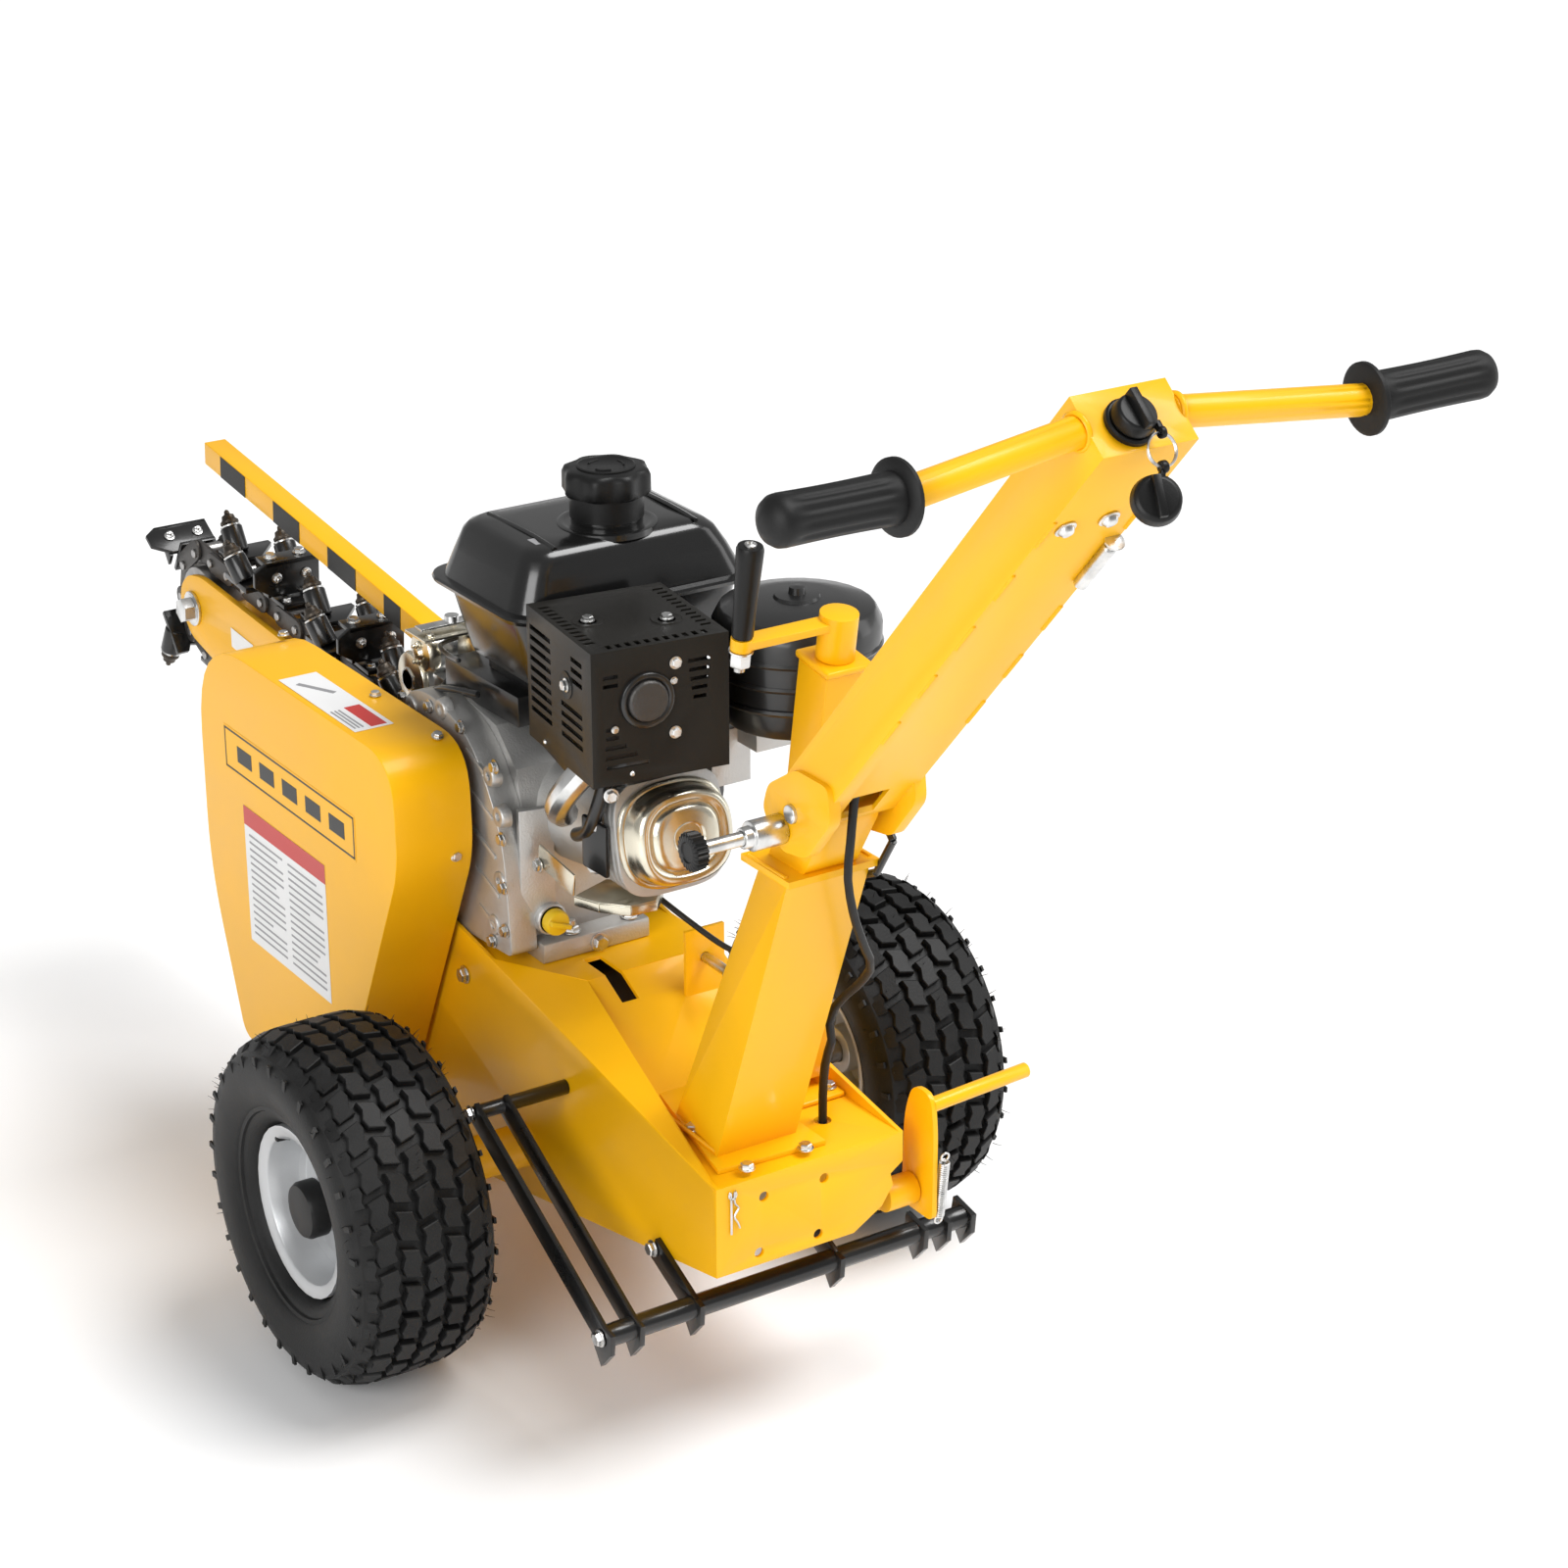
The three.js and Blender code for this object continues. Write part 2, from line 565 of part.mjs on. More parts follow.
const BRACKET_OUT = 53; // the safety bar's bracket stands outside the teeth
function boomFrame() {
  const side = rounded([
    [70, -50], [boomLength - 90, -50], [boomLength + 10, -36], [boomLength + 34, -12],
    [boomLength + 34, 14], [boomLength + 14, 35], [boomLength - 20, 44], [70, 47],
  ], 12);
  const root = outline([[-6, -34], [90, -50], [90, 50], [-6, 34]]);
  const cheeks = [[CHAIN_HALF + 2, BOOM_HALF], [-BOOM_HALF, -CHAIN_HALF - 2]].map(([a, b]) =>
    join(plate(side, a, b, 5), plate(root, a, b), crossRod(0, 0, a, b, 36, 24)));
  const bar = block(78, boomLength - 60, -CHAIN_HALF - 3, CHAIN_HALF + 3, -26, 26);
  const arm = outline([[-26, -14], [26, -14], [42, 110], [0, 140.7], [-28, 140.7], [-34, 110]]);
  const bracket = join(
    plate(arm, -BRACKET_OUT, -BRACKET_OUT + 5),
    crossRod(0, 0, -BRACKET_OUT + 1, -CHAIN_HALF - 3, 26, 20),
  );
  const body = join(...cheeks, bar, bracket);
  return cut(body, crossRod(0, 0, -60, 60, SHAFT_R + 2, 24), crossRod(boomLength, 0, -60, 60, 10.4, 20));
}
place("boom_frame", boomFrame(), YELLOW, boom);

function chainPath(radius) {
  const shape = new THREE.Shape();
  shape.absarc(0, 0, radius, Math.PI / 2, (3 * Math.PI) / 2, false);
  shape.absarc(boomLength, 0, radius, -Math.PI / 2, Math.PI / 2, false);
  return shape;
}
// A point at a distance along the chain, and the direction that points out of the loop there.
const chainLoop = 2 * boomLength + 2 * Math.PI * (SPROCKET_R + CHAIN_T);
function onChain(distance) {
  const r = SPROCKET_R + CHAIN_T;
  const s = ((distance % chainLoop) + chainLoop) % chainLoop;
  if (s < boomLength) return { x: s, z: r, turn: 0 };
  const nose = s - boomLength;
  if (nose < Math.PI * r) {
    const a = nose / r;
    return { x: boomLength + r * Math.sin(a), z: r * Math.cos(a), turn: a };
  }
  const low = nose - Math.PI * r;
  if (low < boomLength) return { x: boomLength - low, z: -r, turn: Math.PI };
  const a = Math.PI + (low - boomLength) / r;
  return { x: r * Math.sin(a), z: r * Math.cos(a), turn: a };
}

// An angle plate that stands across the chain, with a flange at its outer edge.
function cutterPlate() {
  const face = [[-30, 6], [-30, 47], [32, 47], [45, 38], [45, 6]];
  const blade = prism(face.map(([y, z]) => [-4, y, z]), face.map(([y, z]) => [0, y, z]));
  return join(blade, block(-1, 22, -30, 32, 43, 47), block(-3, 16, -18, 18, -4, 45));
}

// A round holder and the bullet tooth in it, leaning the way the chain runs.
function tooth(x, y, outward) {
  return join(
    rod(v3(x - 4, y, 8.5), v3(x + 12, y + outward / 2, 26), 10.5, 8),
    rod(v3(x + 10, y + outward / 2, 22), v3(x + 26, y + outward, 42), 8.5, 8, 2.5),
  );
}

function middleTooth() {
  const wing = [[-22, 16], [-22, -20], [6, -44], [14, -44], [14, 16]];
  const plateUnder = prism(wing.map(([x, y]) => [x, y, 6]), wing.map(([x, y]) => [x, y, 0.1]));
  return join(tooth(0, 0, 0), plateUnder, block(-16, 12, -14, 14, -4, 2));
}

function toothPair() {
  const foot = block(-28, 24, -40, 38, GAP, 7);
  return join(foot, tooth(-4, 28, 10), tooth(6, -31, 0));
}

// A solid moved from the drive shaft to its place on the chain.
function ontoChain(part, distance) {
  const at = onChain(distance);
  return part.rotate([0, (at.turn * 180) / Math.PI, 0]).translate([at.x, 0, at.z]);
}

const chainParts = [cut(
  plate(chainPath(SPROCKET_R + CHAIN_T), -CHAIN_HALF, CHAIN_HALF, 8),
  plate(chainPath(SPROCKET_R), -CHAIN_HALF - 1, CHAIN_HALF + 1, 8),
)];
PATTERNS.forEach(([cutterAt, pairAt, middleAt], i) => {
  chainParts.push(ontoChain(cutterPlate(), cutterAt), ontoChain(middleTooth(), middleAt));
  place(`teeth_${i + 1}`, ontoChain(toothPair(), pairAt), BLACK_PAINT, boom);
});
place("digging_chain", join(...chainParts), BLACK_PAINT, boom);

function sprocket(teeth, outer, half, bore) {
  const shape = new THREE.Shape();
  for (let i = 0; i < teeth * 4; i++) {
    const a = ((i - 0.5) / (teeth * 4)) * 2 * Math.PI;
    const r = i % 4 < 2 ? outer : outer - 9;
    if (i === 0) shape.moveTo(r * Math.cos(a), r * Math.sin(a));
    else shape.lineTo(r * Math.cos(a), r * Math.sin(a));
  }
  shape.closePath();
  const hub = crossRod(0, 0, -CHAIN_HALF - 1, CHAIN_HALF + 1, bore + 7, 20);
  return cut(join(plate(shape, -half, half), hub), crossRod(0, 0, -60, 60, bore, 24));
}
place("drive_sprocket", sprocket(9, SPROCKET_R - 1.5, 6, SHAFT_R + GAP), STEEL, boom);
const rollerHalf = CHAIN_HALF + 1;
place("nose_roller", cut(
  crossRod(boomLength, 0, -rollerHalf, rollerHalf, SPROCKET_R - 1, 28),
  crossRod(boomLength, 0, -60, 60, 10.4, 20),
), STEEL, boom);
place("nose_bolt", join(
  crossRod(boomLength, 0, -BOOM_HALF - 12, BOOM_HALF + 14, 10, 18),
  crossRod(boomLength, 0, BOOM_HALF + GAP, BOOM_HALF + 4, 17, 20),
  crossRod(boomLength, 0, BOOM_HALF + 3, BOOM_HALF + 16, 14, 6),
  crossRod(boomLength, 0, -BOOM_HALF - 14, -BOOM_HALF - GAP, 15, 6),
), ZINC, boom);

// The safety bar runs above the chain from a bracket at the boom's root.
function safetyBar() {
  const [right, left] = [-20, 5];
  const bar = plate(outline([[-28, 132], [497, 158], [497, 183], [-28, 157]]), right, left);
  const hollow = outline([[200, 145.3], [505, 160.4], [505, 181.4], [200, 166.3]]);
  return cut(bar, plate(hollow, right + 2, left - 2));
}
place("safety_bar", join(safetyBar(), block(-28, 0, -BRACKET_OUT, -18, 141, 152)), YELLOW, boom);

// ---------- columns and handlebar ----------
const columnY = (half) => [COLUMN_Y - half, COLUMN_Y + half];
const [COLUMN_RIGHT, COLUMN_LEFT] = columnY(COLUMN_HALF);

function lowerColumn() {
  const foot = TAIL_TOP + GAP;
  const section = (z, front, back, wall) => [
    [back + wall, COLUMN_RIGHT + wall, z], [front - wall, COLUMN_RIGHT + wall, z],
    [front - wall, 56 - wall, z], [back + wall, 70 - wall, z],
  ];
  const tube = cut(
    prism(section(584, -346, -404, 0), section(foot, -200, -290, 0)),
    prism(section(579, -346, -402, 3), section(foot + 5, -202, -290, 3)),
  );
  const flangeTop = foot + 4.7;
  const flange = sheet([
    [-318, COLUMN_RIGHT - 14, flangeTop], [-163, COLUMN_RIGHT - 14, flangeTop],
    [-163, 50, flangeTop], [-312, 82, flangeTop],
  ], 4.7);
  const lid = block(-412, -340, COLUMN_RIGHT - 3, COLUMN_LEFT + 3, 580, 586);
  const drain = block(-270, -240, 0, 45, TAIL_TOP - 1, TAIL_TOP + 6);
  return cut(join(tube, flange, lid, tiltLug()), drain);
}

// The lug that the upper column folds on, with a slot for the lock pin.
function tiltLug() {
  const lug = rounded([
    [-404, 584], [-352, 584], [-383, 642], [-401, 664], [-425, 672], [-438, 659], [-437, 640],
  ], 6);
  const body = plate(lug, 4, 56, 6);
  const arc = new THREE.Shape();
  arc.absarc(TILT.x, TILT.z, 30, deg(-86), deg(-14), false);
  arc.absarc(TILT.x, TILT.z, 16.7, deg(-14), deg(-86), true);
  return cut(body, crossRod(TILT.x, TILT.z, 0, 60, 8.3, 20), plate(arc, 0, 60, 10));
}
place("lower_column", lowerColumn(), YELLOW);
place("tilt_bolt", join(
  crossRod(TILT.x, TILT.z, COLUMN_RIGHT - 16, COLUMN_LEFT + 8, 8, 16),
  crossRod(TILT.x, TILT.z, COLUMN_RIGHT - 16, COLUMN_RIGHT - 6.3, 13, 6),
), ZINC);

// Outline points measured along the upper column's axis (a) and across it (b), as x and z.
const columnAxis = new THREE.Vector2(COLUMN_TOP.x + 441, COLUMN_TOP.z - 681).normalize();
const columnFoot = new THREE.Vector2(-441, 681);
function alongColumn(a, b) {
  return [
    columnFoot.x + columnAxis.x * a + columnAxis.y * b,
    columnFoot.y + columnAxis.y * a - columnAxis.x * b,
  ];
}
const columnLength = Math.hypot(COLUMN_TOP.x - columnFoot.x, COLUMN_TOP.z - columnFoot.y);

// The handlebar's tubes leave the column's sides, sweep back and down, and straighten at the grips.
const HANDLE_ROOT = v3(-765, COLUMN_Y, 1057);
const HANDLE_BEND = 158; // from the column's side to the bend
function handlePoint(across, sign) {
  const first = Math.min(across - COLUMN_HALF, HANDLE_BEND);
  const rest = Math.max(across - COLUMN_HALF - HANDLE_BEND, 0);
  return v3(
    HANDLE_ROOT.x - 0.109 * first - 0.093 * rest,
    COLUMN_Y + sign * across,
    HANDLE_ROOT.z - 0.083 * first + 0.045 * rest,
  );
}

function handlebar(sign) {
  const bend = COLUMN_HALF + HANDLE_BEND;
  return join(
    rod(handlePoint(COLUMN_HALF - 2, sign), handlePoint(bend, sign), HANDLE_R, 16),
    rod(handlePoint(bend - 2, sign), handlePoint(312, sign), HANDLE_R - 0.2, 16),
  );
}

function upperColumn() {
  const top = columnLength;
  const closed = columnLength - 4;
  const outer = outline([
    alongColumn(-40, 26), alongColumn(-26, -26), alongColumn(top, -26), alongColumn(top, 26),
  ]);
  const inner = outline([
    alongColumn(-60, 22.5), alongColumn(-60, -22.5), alongColumn(closed, -22.5), alongColumn(closed, 22.5),
  ]);
  const tube = cut(plate(outer, COLUMN_RIGHT, COLUMN_LEFT), plate(inner, COLUMN_RIGHT + 3, COLUMN_LEFT - 3));
  const cheek = rounded([
    [-424, 690], [-384, 664], [-376, 640], [-404, 612], [-440, 618], [-474, 660], [-470, 690],
  ], 8);
  const rightCheek = plate(cheek, COLUMN_RIGHT - 5, COLUMN_RIGHT + 6, 4);
  const leftCheek = plate(cheek, COLUMN_LEFT - 6, COLUMN_LEFT + 5, 4);
  const [slotX, slotZ] = alongColumn(-4, -26);
  const cableSlot = block(slotX - 14, slotX + 10, COLUMN_LEFT - 54, COLUMN_LEFT - 18, slotZ - 12, slotZ + 18);
  const body = cut(join(tube, rightCheek, leftCheek), cableSlot);
  const [insideX, insideZ] = alongColumn(columnLength - 20, -SWITCH.drop);
  const [outsideX, outsideZ] = alongColumn(columnLength + 20, -SWITCH.drop);
  const switchHole = rod(v3(insideX, SWITCH.y, insideZ), v3(outsideX, SWITCH.y, outsideZ), 15.5, 20);
  const tiltHole = crossRod(TILT.x, TILT.z, -40, 90, 8.3, 20);
  const lockHole = crossRod(LOCK.x, LOCK.z, COLUMN_LEFT - 8, 90, 6.3, 16);
  return cut(join(body, handlebar(1), handlebar(-1)), tiltHole, lockHole, switchHole);
}
place("upper_column", upperColumn(), YELLOW);

// ---------- grips ----------
for (const [side, sign] of [["left", 1], ["right", -1]]) {
  const start = handlePoint(COLUMN_HALF + 160.5, sign);
  const end = handlePoint(318, sign);
  const along = end.clone().sub(start).normalize();
  const flangeEnd = start.clone().addScaledVector(along, 6);
  const grip = join(
    rod(start, flangeEnd, 27, 20),
    rod(flangeEnd.clone().addScaledVector(along, -1), end.clone().addScaledVector(along, -4), 18, 20, 17.5),
  );
  const bore = rod(start.clone().addScaledVector(along, -2), handlePoint(313, sign), HANDLE_R + GAP, 16);
  place(`grip_${side}`, cut(grip, bore), RUBBER);
}

// ---------- battery switch in the column's end ----------
const columnEnd = new THREE.Group();
const [switchX, switchZ] = alongColumn(columnLength, -SWITCH.drop);
columnEnd.position.set(switchX, SWITCH.y, switchZ);
columnEnd.rotation.y = -Math.atan2(-columnAxis.x, columnAxis.y);
machine.add(columnEnd);
const upRod = (z0, z1, radius, sides, top = radius) => rod(v3(0, 0, z0), v3(0, 0, z1), radius, sides, top);
const switchBody = join(upRod(-40, 2, 15, 24), upRod(GAP, 5, 19, 24));
place("key_switch", cut(switchBody, upRod(-30, 10, 6.3, 12)), PLASTIC, columnEnd);

// The switch's key is a round cap with a grip across it and a lug for the ring.
const KEY_LUG = v3(-18, -12, 13);
function switchKey() {
  const lug = rod(v3(KEY_LUG.x, KEY_LUG.y - 2, KEY_LUG.z), v3(KEY_LUG.x, KEY_LUG.y + 2, KEY_LUG.z), 4.5, 12);
  const eye = rod(v3(KEY_LUG.x, KEY_LUG.y - 3, KEY_LUG.z), v3(KEY_LUG.x, KEY_LUG.y + 3, KEY_LUG.z), 2.1, 10);
  const cap = upRod(5.3, 16, 16, 24, 15);
  const grip = block(-15, 15, -3.5, 3.5, 14, 24);
  const arm = block(KEY_LUG.x, -6, KEY_LUG.y - 2, KEY_LUG.y + 2, KEY_LUG.z - 3, KEY_LUG.z + 2.5);
  return cut(join(upRod(-20, 6, 6, 12), cap, grip, arm, lug), eye);
}
place("switch_key", switchKey(), PLASTIC, columnEnd);

// The spare key hangs from that lug on a ring, leaning on nothing.
columnEnd.updateMatrixWorld(true);
const ringTop = columnEnd.localToWorld(KEY_LUG.clone());
const RING_HANG = v3(-0.43, 0.25, -0.87).normalize();
const RING_R = 12;
function spareKey() {
  const ring = new THREE.TorusGeometry(RING_R, 0.9, 6, 20);
  const face = RING_HANG.clone().cross(v3(0, 1, 0)).normalize();
  ring.applyQuaternion(new THREE.Quaternion().setFromUnitVectors(v3(0, 0, 1), face));
  const middle = RING_HANG.clone().multiplyScalar(RING_R);
  ring.translate(middle.x, middle.y, middle.z);
  const foot = RING_HANG.clone().multiplyScalar(2 * RING_R);
  const capMiddle = foot.clone().add(v3(-10, 12, -18));
  const outward = v3(-0.75, 0.35, 0.55).normalize();
  const at = (distance) => capMiddle.clone().addScaledVector(outward, distance);
  const lug = rod(foot.clone().add(v3(0, -2.5, 0)), foot.clone().add(v3(0, 2.5, 0)), 4.5, 10);
  const neck = rod(foot, capMiddle.clone().lerp(foot, 0.4), 4, 8);
  const grip = rod(at(0).add(v3(6, -6, 10)), at(4).add(v3(-5, 6, -11)), 6, 8);
  return join(solid(ring), lug, neck, rod(at(-10), at(3), 17, 20, 16), grip);
}
const spare = new THREE.Group();
spare.position.copy(ringTop);
machine.add(spare);
place("spare_key", spareKey(), PLASTIC, spare);

// ---------- lock pin of the folding column ----------
const barrelStart = COLUMN_LEFT + 5.3;
place("lock_pin_barrel", cut(
  join(
    crossRod(LOCK.x, LOCK.z, barrelStart, barrelStart + 30, 13, 20),
    crossRod(LOCK.x, LOCK.z, barrelStart + 29, barrelStart + 38, 9, 16),
  ),
  crossRod(LOCK.x, LOCK.z, barrelStart - 1, barrelStart + 40, 6.3, 16),
), ZINC);
place("lock_pin", join(
  crossRod(LOCK.x, LOCK.z, 30, 158, 6, 16),
  crossRod(LOCK.x, LOCK.z, 155, 167, 16, 20),
), STEEL);

// ---------- crank post ----------
const POST_LEAN_DEG = 9;
const POST_LEAN = deg(POST_LEAN_DEG);
const POST_FOOT = v3(-206, POST_Y, TAIL_TOP + GAP);
const post = new THREE.Group();
post.position.copy(POST_FOOT);
post.rotation.y = -POST_LEAN;
machine.add(post);
const POST_LEN = 438;
function crankPost() {
  const tube = block(-22, 22, -22, 22, 18, POST_LEN);
  const bore = rod(v3(0, 0, 60), v3(0, 0, POST_LEN + 10), 13, 20);
  const foot = block(-46, 34, -30, 34, 0, 5).rotate([0, POST_LEAN_DEG, 0]);
  const web = join(block(-22, 22, -22, -18, 4.5, 22), block(-22, 22, 18, 22, 4.5, 22));
  const lid = block(-25, 25, -24, 24, POST_LEN - 1, POST_LEN + 5);
  return cut(join(tube, foot, web, lid), bore);
}
place("crank_post", crankPost(), YELLOW, post);

const crank = new THREE.Group();
crank.position.set(0, 0, POST_LEN + 5);
post.add(crank);
const CRANK_REACH = 97;
function crankArm() {
  const spindle = rod(v3(0, 0, -360), v3(0, 0, 4), 12, 16);
  const hub = rod(v3(0, 0, GAP), v3(0, 0, 42), 17, 24);
  const arm = block(-9, 9, 10, CRANK_REACH, 30, 37);
  const eye = rod(v3(0, CRANK_REACH, 28), v3(0, CRANK_REACH, 39), 9.5, 20);
  const bore = rod(v3(0, CRANK_REACH, 20), v3(0, CRANK_REACH, 50), 5.3, 12);
  return cut(join(spindle, hub, arm, eye), bore);
}
place("crank_arm", crankArm(), YELLOW, crank);
place("crank_grip", join(
  rod(v3(0, CRANK_REACH, 14), v3(0, CRANK_REACH, 40), 5, 12),
  rod(v3(0, CRANK_REACH, 39.4), v3(0, CRANK_REACH, 124), 9, 20, 12),
  rod(v3(0, CRANK_REACH, 12), v3(0, CRANK_REACH, 27.6), 9, 6),
), PLASTIC, crank);

// ---------- rear anchor bar ----------
const [BAR_X, BAR_Z] = [BAR.x, BAR.z];
function claw(y0, y1) {
  return plate(outline([
    [BAR_X - 16, BAR_Z + 8], [BAR_X + 14, BAR_Z + 14], [BAR_X + 18, BAR_Z - 8],
    [BAR_X + 2, BAR_Z - 30], [BAR_X - 14, BAR_Z - 12],
  ]), y0, y1);
}

function strap(from, to, width, y0, y1) {
  const along = new THREE.Vector2(to[0] - from[0], to[1] - from[1]);
  const across = new THREE.Vector2(-along.y, along.x).setLength(width / 2);
  return plate(outline([
    [from[0] + across.x, from[1] + across.y], [from[0] - across.x, from[1] - across.y],
    [to[0] - across.x, to[1] - across.y], [to[0] + across.x, to[1] + across.y],
  ]), y0, y1);
}

function anchorFrame() {
  const tube = crossRod(BAR_X, BAR_Z, -BAR.half, BAR.half, BAR.r, 16);
  const clawSpans = [
    [190, 195], [160, 165], [98.5, 103.5], [-50, -45], [-142, -137], [-168, -163], [-195, -190],
  ];
  const claws = clawSpans.map(([a, b]) => claw(a, b));
  const long = [[190, 195], [160, 165]].map(([a, b]) => strap([BAR_X, BAR_Z], [-76, 264], 22, a, b));
  const short = [[98.5, 103.5], [-50, -45]].map(([a, b]) => strap([BAR_X, BAR_Z], [-236, 172], 24, a, b));
  const tie = crossRod(-78, 262, FRAME_HALF + GAP, 195, 7, 14);
  return join(tube, ...claws, ...long, ...short, tie);
}
place("anchor_frame", anchorFrame(), BLACK_PAINT);

// ---------- lock pedal ----------
function lockPedal() {
  const side = rounded([
    [-345, 178, 8], [-297, 178, 14], [-300, 270, 30], [-312, 303, 18], [-340, 303, 18], [-345, 270, 30],
  ], 10);
  const hole = crossRod(PEDAL.x, PEDAL.z, PEDAL_Y - 10, PEDAL_Y + 10, 6.3, 16);
  const tread = rod(v3(-336, PEDAL_Y - 1, 291), v3(-324, -240, 289), 7, 14);
  return join(cut(plate(side, PEDAL_Y - 2.5, PEDAL_Y + 2.5, 4), hole), tread);
}
place("lock_pedal", lockPedal(), YELLOW);

// A close-wound tension spring, as the cylinder it fills.
place("lock_spring", rod(v3(-338, PEDAL_Y - 9, 168), v3(-348, PEDAL_Y - 9, 248), 5.5, 12), ZINC);

// ---------- battery cable ----------
// From inside the upper column, down the lower column's back and right side, into the chassis.
const cableRoute = [
  [-474, 42, 704], [-461, 43, 682], [-457, 43, 660], [-450, 41, 626], [-438, 35, 592], [-422, 18, 548],
  [-405, -4, 508], [-388, -24, 476], [-362, -31, 448], [-332, -30, 418], [-320, -28, 398],
  [-318, -32, 376], [-300, -38, 345], [-284, -46, 305],
  [CABLE_HOLE.x, CABLE_HOLE.y, 268], [CABLE_HOLE.x, CABLE_HOLE.y, 240],
];
place("battery_cable", sweep(cableRoute, 4, 6, 26), RUBBER);

machine.position.x = -ORIGIN_X;
export default machine;
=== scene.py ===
"""A walk-behind trencher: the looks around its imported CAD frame. Lengths are in millimetres from a
point on the ground under the axle (+X ahead, +Y to the operator's left) until place() turns them
into the frame's metres."""
import json
import random
from math import atan2, cos, hypot, pi, radians, sin, sqrt

import bmesh
import bpy
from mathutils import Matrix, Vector


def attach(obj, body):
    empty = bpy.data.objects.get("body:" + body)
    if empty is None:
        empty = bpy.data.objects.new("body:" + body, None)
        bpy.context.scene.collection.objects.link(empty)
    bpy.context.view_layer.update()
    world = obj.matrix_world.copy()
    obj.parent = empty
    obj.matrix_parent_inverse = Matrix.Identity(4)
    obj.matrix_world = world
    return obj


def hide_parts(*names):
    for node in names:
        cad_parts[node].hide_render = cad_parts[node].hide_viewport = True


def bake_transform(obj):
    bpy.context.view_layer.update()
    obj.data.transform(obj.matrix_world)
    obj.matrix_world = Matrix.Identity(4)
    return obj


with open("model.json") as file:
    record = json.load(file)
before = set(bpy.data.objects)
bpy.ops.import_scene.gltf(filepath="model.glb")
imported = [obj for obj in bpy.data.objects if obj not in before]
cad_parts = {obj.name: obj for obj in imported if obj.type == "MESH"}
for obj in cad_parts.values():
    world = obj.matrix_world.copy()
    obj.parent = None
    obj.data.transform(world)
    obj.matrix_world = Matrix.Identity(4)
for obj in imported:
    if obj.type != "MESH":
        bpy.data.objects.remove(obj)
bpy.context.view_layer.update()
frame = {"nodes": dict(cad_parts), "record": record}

AXLE_TO_ORIGIN = 60.9  # the frame's origin lies this far ahead of the axle
HAIR_SEED = 11  # fixes where the tyres' vent hairs grow
random.seed(HAIR_SEED)

CAMERA_AT = (-2609.1, 1528.4, 1775.6)
CAMERA_YAW = radians(-33.40)
CAMERA_PITCH = radians(22.71)  # downwards
LENS, SENSOR = 81.87, 36
FLOOR_HALF = 200  # metres
VIEW_END = 500  # metres, past the floor's far corners
FLOOR_GREY = 0.93
WORLD_POWER = 0.38
SUN_POWER = 2.9
SUN_SPREAD = radians(35)
SUN_WAY = (0.3, 0.45, -1)


def vec(x, y, z):
    return Vector((x, y, z))


def place(p):
    return Vector(((p[0] - AXLE_TO_ORIGIN) / 1000, p[1] / 1000, p[2] / 1000))


# ---------- camera, floor and light ----------
def camera():
    data = bpy.data.cameras.new("camera")
    data.lens = LENS
    data.sensor_width = SENSOR
    data.clip_end = VIEW_END
    cam = bpy.data.objects.new("camera", data)
    bpy.context.scene.collection.objects.link(cam)
    cam.location = place(CAMERA_AT)
    yaw, pitch = CAMERA_YAW, CAMERA_PITCH
    look = vec(cos(pitch) * cos(yaw), cos(pitch) * sin(yaw), -sin(pitch))
    cam.rotation_euler = look.to_track_quat("-Z", "Y").to_euler()
    bpy.context.scene.camera = cam


def area_light(name, location, target, size, power):
    data = bpy.data.lights.new(name, "AREA")
    data.shape = "RECTANGLE"
    data.size, data.size_y = size
    data.energy = power
    light = bpy.data.objects.new(name, data)
    bpy.context.scene.collection.objects.link(light)
    light.location = location
    aim = Vector(target) - Vector(location)
    light.rotation_euler = aim.to_track_quat("-Z", "Y").to_euler()


def studio():
    bpy.context.scene.view_settings.view_transform = "Standard"
    world = bpy.data.worlds.new("studio")
    bpy.context.scene.world = world
    world.use_nodes = True
    background = world.node_tree.nodes["Background"]
    background.inputs["Color"].default_value = (1, 1, 1, 1)
    background.inputs["Strength"].default_value = WORLD_POWER
    sun = bpy.data.lights.new("sun", "SUN")
    sun.energy = SUN_POWER
    sun.angle = SUN_SPREAD
    sun_at = bpy.data.objects.new("sun", sun)
    bpy.context.scene.collection.objects.link(sun_at)
    sun_at.rotation_euler = vec(*SUN_WAY).to_track_quat("-Z", "Y").to_euler()
    area_light("key", (-2.0, 3.0, 1.9), (0, 0, 0.4), (2.2, 1.8), 75)
    area_light("rim", (-1.2, -3.0, 1.6), (0, 0, 0.5), (1.2, 2.4), 16)
    mesh = bpy.data.meshes.new("floor")
    corners = [(a * FLOOR_HALF, b * FLOOR_HALF, 0) for a, b in ((-1, -1), (1, -1), (1, 1), (-1, 1))]
    mesh.from_pydata(corners, [], [(0, 1, 2, 3)])
    floor = bpy.data.objects.new("floor", mesh)
    bpy.context.scene.collection.objects.link(floor)
    m = bpy.data.materials.new("floor_white")
    m.use_nodes = True
    shader = m.node_tree.nodes["Principled BSDF"]
    shader.inputs["Base Color"].default_value = (FLOOR_GREY, FLOOR_GREY, FLOOR_GREY, 1)
    shader.inputs["Roughness"].default_value = 0.7
    mesh.materials.append(m)


camera()
studio()


# ---------- materials ----------
COAT_ROUGH = 0.12
BROAD_DETAIL, FINE_DETAIL = 6, 3
DARK_BELOW, FULL_ABOVE = 0.38, 0.6  # where the broad noise turns from the darker colour to the full one
SMOOTHEST, ROUGHEST = 0.8, 1.25  # times the stated roughness
GRAIN_DEPTH = 0.001  # metres


